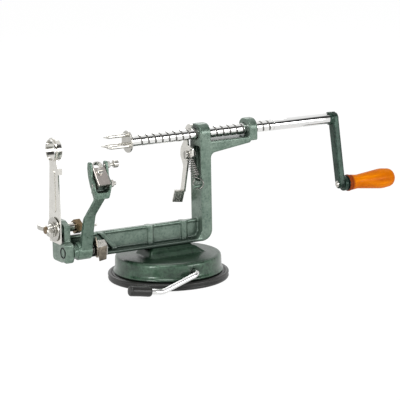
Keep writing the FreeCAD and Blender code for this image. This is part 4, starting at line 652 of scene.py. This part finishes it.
def cast_arm(finish):
    """The peeling arm: a hub that reaches the end block, and a wall across the back of the fork."""
    piece = copy_solid("peel_arm", "arm_skin")
    channel_low, channel_high = spot_of("blade_yoke")
    hub_radius, hub_length, running_gap = 5.6, 6, 0.35
    front, back = channel_low.y + 9.8, channel_low.y + 12.4
    hub = bar(hub_radius, END_RIGHT + running_gap, hub_length, PIVOT_Y, PIVOT_Z)
    wall = block((channel_low.x - 1, front, channel_low.z - 4),
                 (channel_high.x + 1, back, channel_low.z + 3.3))
    join_to(piece, [hub, wall])
    fettle(piece, voxel=0.4, rounds=3, share=0.45)
    paint(piece, finish)
    enrol(piece, "arm", "green_paint", "peel_arm")


def cast_crank(finish):
    """The crank arm with soft corners."""
    piece = copy_solid("crank_arm", "crank_skin")
    fettle(piece, voxel=0.4, rounds=3, share=0.5)
    paint(piece, finish)
    enrol(piece, "screw", "green_paint", "crank_arm")


def cast_wing_nut(finish):
    """The wing nut, a small die casting."""
    piece = copy_solid("wing_nut", "wing_nut_skin")
    fettle(piece, voxel=0.22, rounds=3, share=0.4)
    paint(piece, finish)
    enrol(piece, "wing", "steel", "wing_nut")


# Bright bars and the ring of painted shade at the pivot rod's end

def plated_bar(node, name, finish):
    """A turned or bent plated bar with an even skin, so that long reflections run straight."""
    piece = copy_solid(node, name)
    bpy.ops.object.shade_smooth_by_angle(angle=math.radians(40))
    paint(piece, finish)
    enrol(piece, nodes[node]["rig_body"], "chrome", node)


def gap_shade_ring(finish):
    """A blackened ring as painted shade in the gap round the end of the pivot rod."""
    ring, bead = 4.1, 0.55
    bpy.ops.mesh.primitive_torus_add(major_segments=64, minor_segments=12, major_radius=ring * MM,
                                     minor_radius=bead * MM, rotation=(0, math.pi / 2, 0),
                                     location=(Vector((END_LEFT, PIVOT_Y, PIVOT_Z)) * MM))
    piece = bpy.context.object
    piece.name = "gap_shade_ring"
    settle(piece)
    bpy.ops.object.shade_smooth()
    paint(piece, finish)
    enrol(piece, "frame", "dark_steel")


# Rubber

def rubber_rim(finish):
    """The foot's rim: a rounded outer bead with a groove, a flat sole, and a lip under the dome."""
    high = spot_of("pad_rim")[1]
    out = high.x
    top = high.z
    inner = out - 8
    rings = [
        (inner + 0.4, 0.5), (inner + 1.6, 0.0), (inner + 3.6, 0.0), (out - 3.2, 0.0), (out - 1.4, 0.15),
        (out - 0.4, 1.0), (out - 0.05, 2.2), (out - 0.5, 3.0), (out - 0.9, 3.5), (out - 0.45, 4.0),
        (out, 4.7), (out - 0.1, 5.7), (out - 0.7, top - 0.15), (out - 1.8, top), (out - 2.9, top - 0.3),
        (out - 3.6, top - 1.2), (inner + 3.7, top - 1.3), (inner + 3.2, top - 0.35),
        (inner + 0.5, top - 0.3), (inner + 0.05, 5.2), (inner + 0.05, 1.4),
    ]
    piece = turned_piece("rubber_rim", rings, sides=128)
    apply_modifier(piece, "SUBSURF", levels=1, render_levels=1)
    bpy.ops.object.shade_smooth()
    paint(piece, finish)
    enrol(piece, "frame", "black_rubber", "pad_rim")


def rubber_membrane(finish):
    """The thin rubber disc inside the rim, domed up to the stud."""
    low, high = spot_of("pad_membrane")
    rings = [
        (0.6, high.z - 1.2), (12, high.z - 1.2), (17, high.z - 1.4), (24, 3.2), (34, 1.2), (39, 0.7),
        (42.4, low.z), (42.9, 0.9), (42.9, 1.5), (42.4, 1.8), (39, 1.9), (34, 2.4), (24, 4.4),
        (17, high.z - 0.2), (12, high.z), (0.6, high.z),
    ]
    piece = turned_piece("rubber_membrane", rings, sides=96)
    bpy.ops.object.shade_smooth()
    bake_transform(piece)
    paint(piece, finish)
    enrol(piece, None, "black_rubber", "pad_membrane")


def rubber_grip(finish):
    """The moulded sleeve on the suction lever, slightly waisted, with rounded ends."""
    low, high = spot_of("lever_grip")
    lean = math.radians(99.5)
    rings = [
        (1.4, -9.75), (3.1, -9.72), (3.9, -9.4), (4.22, -8.7), (4.3, -7.9), (4.26, -4), (4.2, 0),
        (4.26, 4), (4.3, 7.9), (4.22, 8.7), (3.9, 9.4), (3.1, 9.72), (2.3, 9.75),
    ]
    piece = turned_piece("rubber_grip", rings, sides=64, capped=True)
    piece.rotation_euler = (0, lean, 0)
    piece.location = (low + high) / 2 * MM
    settle(piece)
    bpy.ops.object.shade_smooth()
    paint(piece, finish)
    enrol(piece, "suction", "black_rubber", "lever_grip")


# Springs and the latch

def pull_spring(finish):
    """The release lever's spring: nine turns between a loop over the lever's ear and one round the stud."""
    wire, coil, hook, eye = 0.47, 3.15, 3.7, 4.4
    turns = 9
    anchor_low, anchor_high = spot_of("spring_anchor")
    anchor = (anchor_low + anchor_high) / 2
    spring_top = spot_of("release_spring")[1].z
    lever_back = spot_of("release_lever")[1].x
    hook_x = lever_back - 1.6
    along, up = Vector((1, 0, 0)), Vector((0, 0, 1))
    ear = Vector((hook_x, anchor.y + 6.4, spring_top - 0.45))
    hung = Vector((hook_x + 0.4, ear.y, ear.z - hook))
    top = Vector((hook_x - 0.9, ear.y + 0.2, ear.z - 7.5))
    foot = Vector((hook_x + 1.2, anchor.y + 0.6, anchor.z + 8.2))
    ring = Vector((hook_x + 2.4, anchor.y - 0.4, anchor.z + 2.2))
    axis = (foot - top).normalized()
    across = (along - axis * axis.x).normalized()
    aside = axis.cross(across)
    aside = -aside if aside.y < 0 else aside
    flat = Vector((math.sin(math.radians(50)), -math.cos(math.radians(50)), 0))
    points = coil_run(hung, along, up, hook, -40, 250)
    points += coil_run(top, across, aside, coil, 0, turns * 360 - 145, foot - top)
    points += coil_run(ring, flat, up, eye, 90, -235)
    piece = wire_piece("pull_spring", points, wire)
    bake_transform(piece)
    paint(piece, finish)
    enrol(piece, None, "steel", "release_spring")


def twist_spring(finish):
    """The peeling arm's spring: two turns round the pivot rod, with a straight leg at each end."""
    wire, coil, run = 0.4, 4.1, 2.5
    low, high = spot_of("arm_spring")
    centre = Vector(((low.x + high.x) / 2 - run / 2, PIVOT_Y, PIVOT_Z))
    across, up = Vector((0, 1, 0)), Vector((0, 0, 1))
    turns = coil_run(centre, across, up, coil, 20, 740, Vector((run, 0, 0)))
    leave = (turns[0] - turns[1]).normalized()
    arrive = (turns[-1] - turns[-2]).normalized()
    points = [turns[0] + leave * 3.4, turns[0] + leave * 1.6] + turns
    points += [turns[-1] + arrive * 1.6, turns[-1] + arrive * 3.4]
    piece = wire_piece("twist_spring", points, wire)
    paint(piece, finish)
    enrol(piece, "arm", "steel", "arm_spring")


def folded_latch(bright, dull):
    """The latch: a strip folded into a sloping top, two cheeks on the pivot rod and a hanging tab."""
    strip, bore = 1.1, 3.15
    facing_x = (math.pi / 2, 0, math.pi / 2)
    facing_y = (math.pi / 2, 0, 0)
    slope = (math.radians(34), 0, 0)
    low, high = spot_of("arm_latch")
    left, right = low.x + strip / 2, high.x - strip / 2
    y, z = PIVOT_Y, PIVOT_Z
    left_side = [
        (y - 6.7, z + 2.4), (y - 3.9, z + 10.6), (y - 2.9, z + 9.9), (y - 0.6, z + 6.3), (y + 3.4, z + 5.2),
        (y + 3.8, z + 2.4), (y + 3.8, z - 3.1), (y - 0.4, z - 3.6), (y - 2.3, z - 4.8), (y - 4.2, z - 6.4),
        (y - 7.0, z - 6.0),
    ]
    right_side = [
        (y - 5.7, z + 2.4), (y - 3.2, z + 5.0), (y + 3.4, z + 5.2), (y + 3.8, z + 2.4), (y + 3.8, z - 3.1),
        (y - 0.4, z - 3.6), (y - 2.3, z - 4.8), (y - 5.2, z - 5.4),
    ]
    top_side = [(left, -4.4), (right, -3.6), (right, 3.4), (left, 3.4)]
    tab_side = [(left + 0.2, z + 2.6), (right - 0.6, z + 2.6), (right - 1.4, z - 8.4), (left + 1.6, z - 9.4)]
    left_cheek = sheet(left_side, strip, (left, 0, 0), facing_x)
    right_cheek = sheet(right_side, strip, (right, 0, 0), facing_x)
    for cheek in (left_cheek, right_cheek):
        cut_away(cheek, [bar(bore, low.x - 1, high.x - low.x + 2, y, z)])
    top = sheet(top_side, strip, (0, y - 3.3, z + 4.6), slope)
    tab = sheet(tab_side, strip, (0, y - 6.2, 0), facing_y)
    # The left cheek and the tab take the darker finish as painted shade; the right cheek and the top stay
    # bright.
    paint(left_cheek, dull)
    paint(tab, dull)
    paint(right_cheek, bright)
    paint(top, bright)
    piece = left_cheek
    piece.name = "folded_latch"
    join_to(piece, [tab, right_cheek, top])
    bpy.ops.object.shade_smooth_by_angle(angle=math.radians(35))
    enrol(piece, "latch", "steel", "arm_latch")


# The scene is put together here

aim_camera()
bpy.context.scene.view_settings.view_transform = "Standard"
set_surround()
set_table()
set_lamps()

enamel = hammer_enamel("hammertone_enamel", "#1c2d24", "#475d50", "#64786b")
# A lighter copy of the enamel, as painted light on the frame; its bottom flange also takes painted shade.
lit_frame_enamel = hammer_enamel("hammertone_frame_enamel_painted_light", "#1c2d24", "#516559", "#718276", flange=True)
# The foot's long occlusion reach spreads painted shade under the frame, and its top face above DOME_TOP
# takes painted shade too.
foot_enamel = hammer_enamel("hammertone_foot_enamel", "#0c1f13", "#21382a", "#42604b", grain=2.4, reach=26.0,
                            shine=0.5, flake=0.3, shaded_dull_top=DOME_TOP)
# A darker copy of the enamel, as painted shade on the crank and its set screw.
shaded_crank_enamel = hammer_enamel("hammertone_crank_enamel_painted_shade", "#0c1914", "#15251e", "#34493f", shine=0.06)
chrome = chrome_plate()
zinc = zinc_plate()
spring_steel = spring_wire()
blackened = blackened_steel()
rubber = moulded_rubber()

finishes = {
    enamel: ["spring_anchor", "arm_pivot_rod"],
    shaded_crank_enamel: ["crank_set_screw"],
    chrome: ["shaft_sleeve", "lever_rod"],
    nickel_plate(): ["blade_yoke"],
    bright_zinc_plate(): ["release_lever"],
    groove_shaded_thread(): ["lead_screw"],
    zinc: ["pad_stud", "frame_screws", "lever_cam", "lever_clip", "fork_plate", "handle_pin",
           "arm_pin", "cross_nut", "depth_screw", "depth_nut", "blade_screw", "bolt_spacer",
           "large_washer", "small_washer", "lever_screw"],
    bright_steel(): ["arm_latch", "cross_bolt"],
    ground_stainless(): ["fork_prongs", "peel_blade", "slicing_blade", "coring_ring"],
    spring_steel: ["release_spring", "arm_spring"],
    passivated_steel(): ["wing_bolt"],
    blackened: ["handle_washer"],
    rubber: ["pad_rim", "pad_membrane", "lever_grip"],
    varnished_beech(): ["wood_grip"],
}
for finish, names in finishes.items():
    for name in names:
        paint(nodes[name], finish)

cast_frame(lit_frame_enamel)
cast_foot(foot_enamel)
cast_arm(enamel)
cast_crank(shaded_crank_enamel)
cast_wing_nut(zinc)
plated_bar("shaft_sleeve", "plated_sleeve", chrome)
plated_bar("lever_rod", "plated_lever_rod", chrome)
gap_shade_ring(blackened)
rubber_rim(rubber)
rubber_membrane(rubber)
rubber_grip(rubber)
pull_spring(spring_steel)
twist_spring(spring_steel)
folded_latch(zinc, shaded_strip_steel())
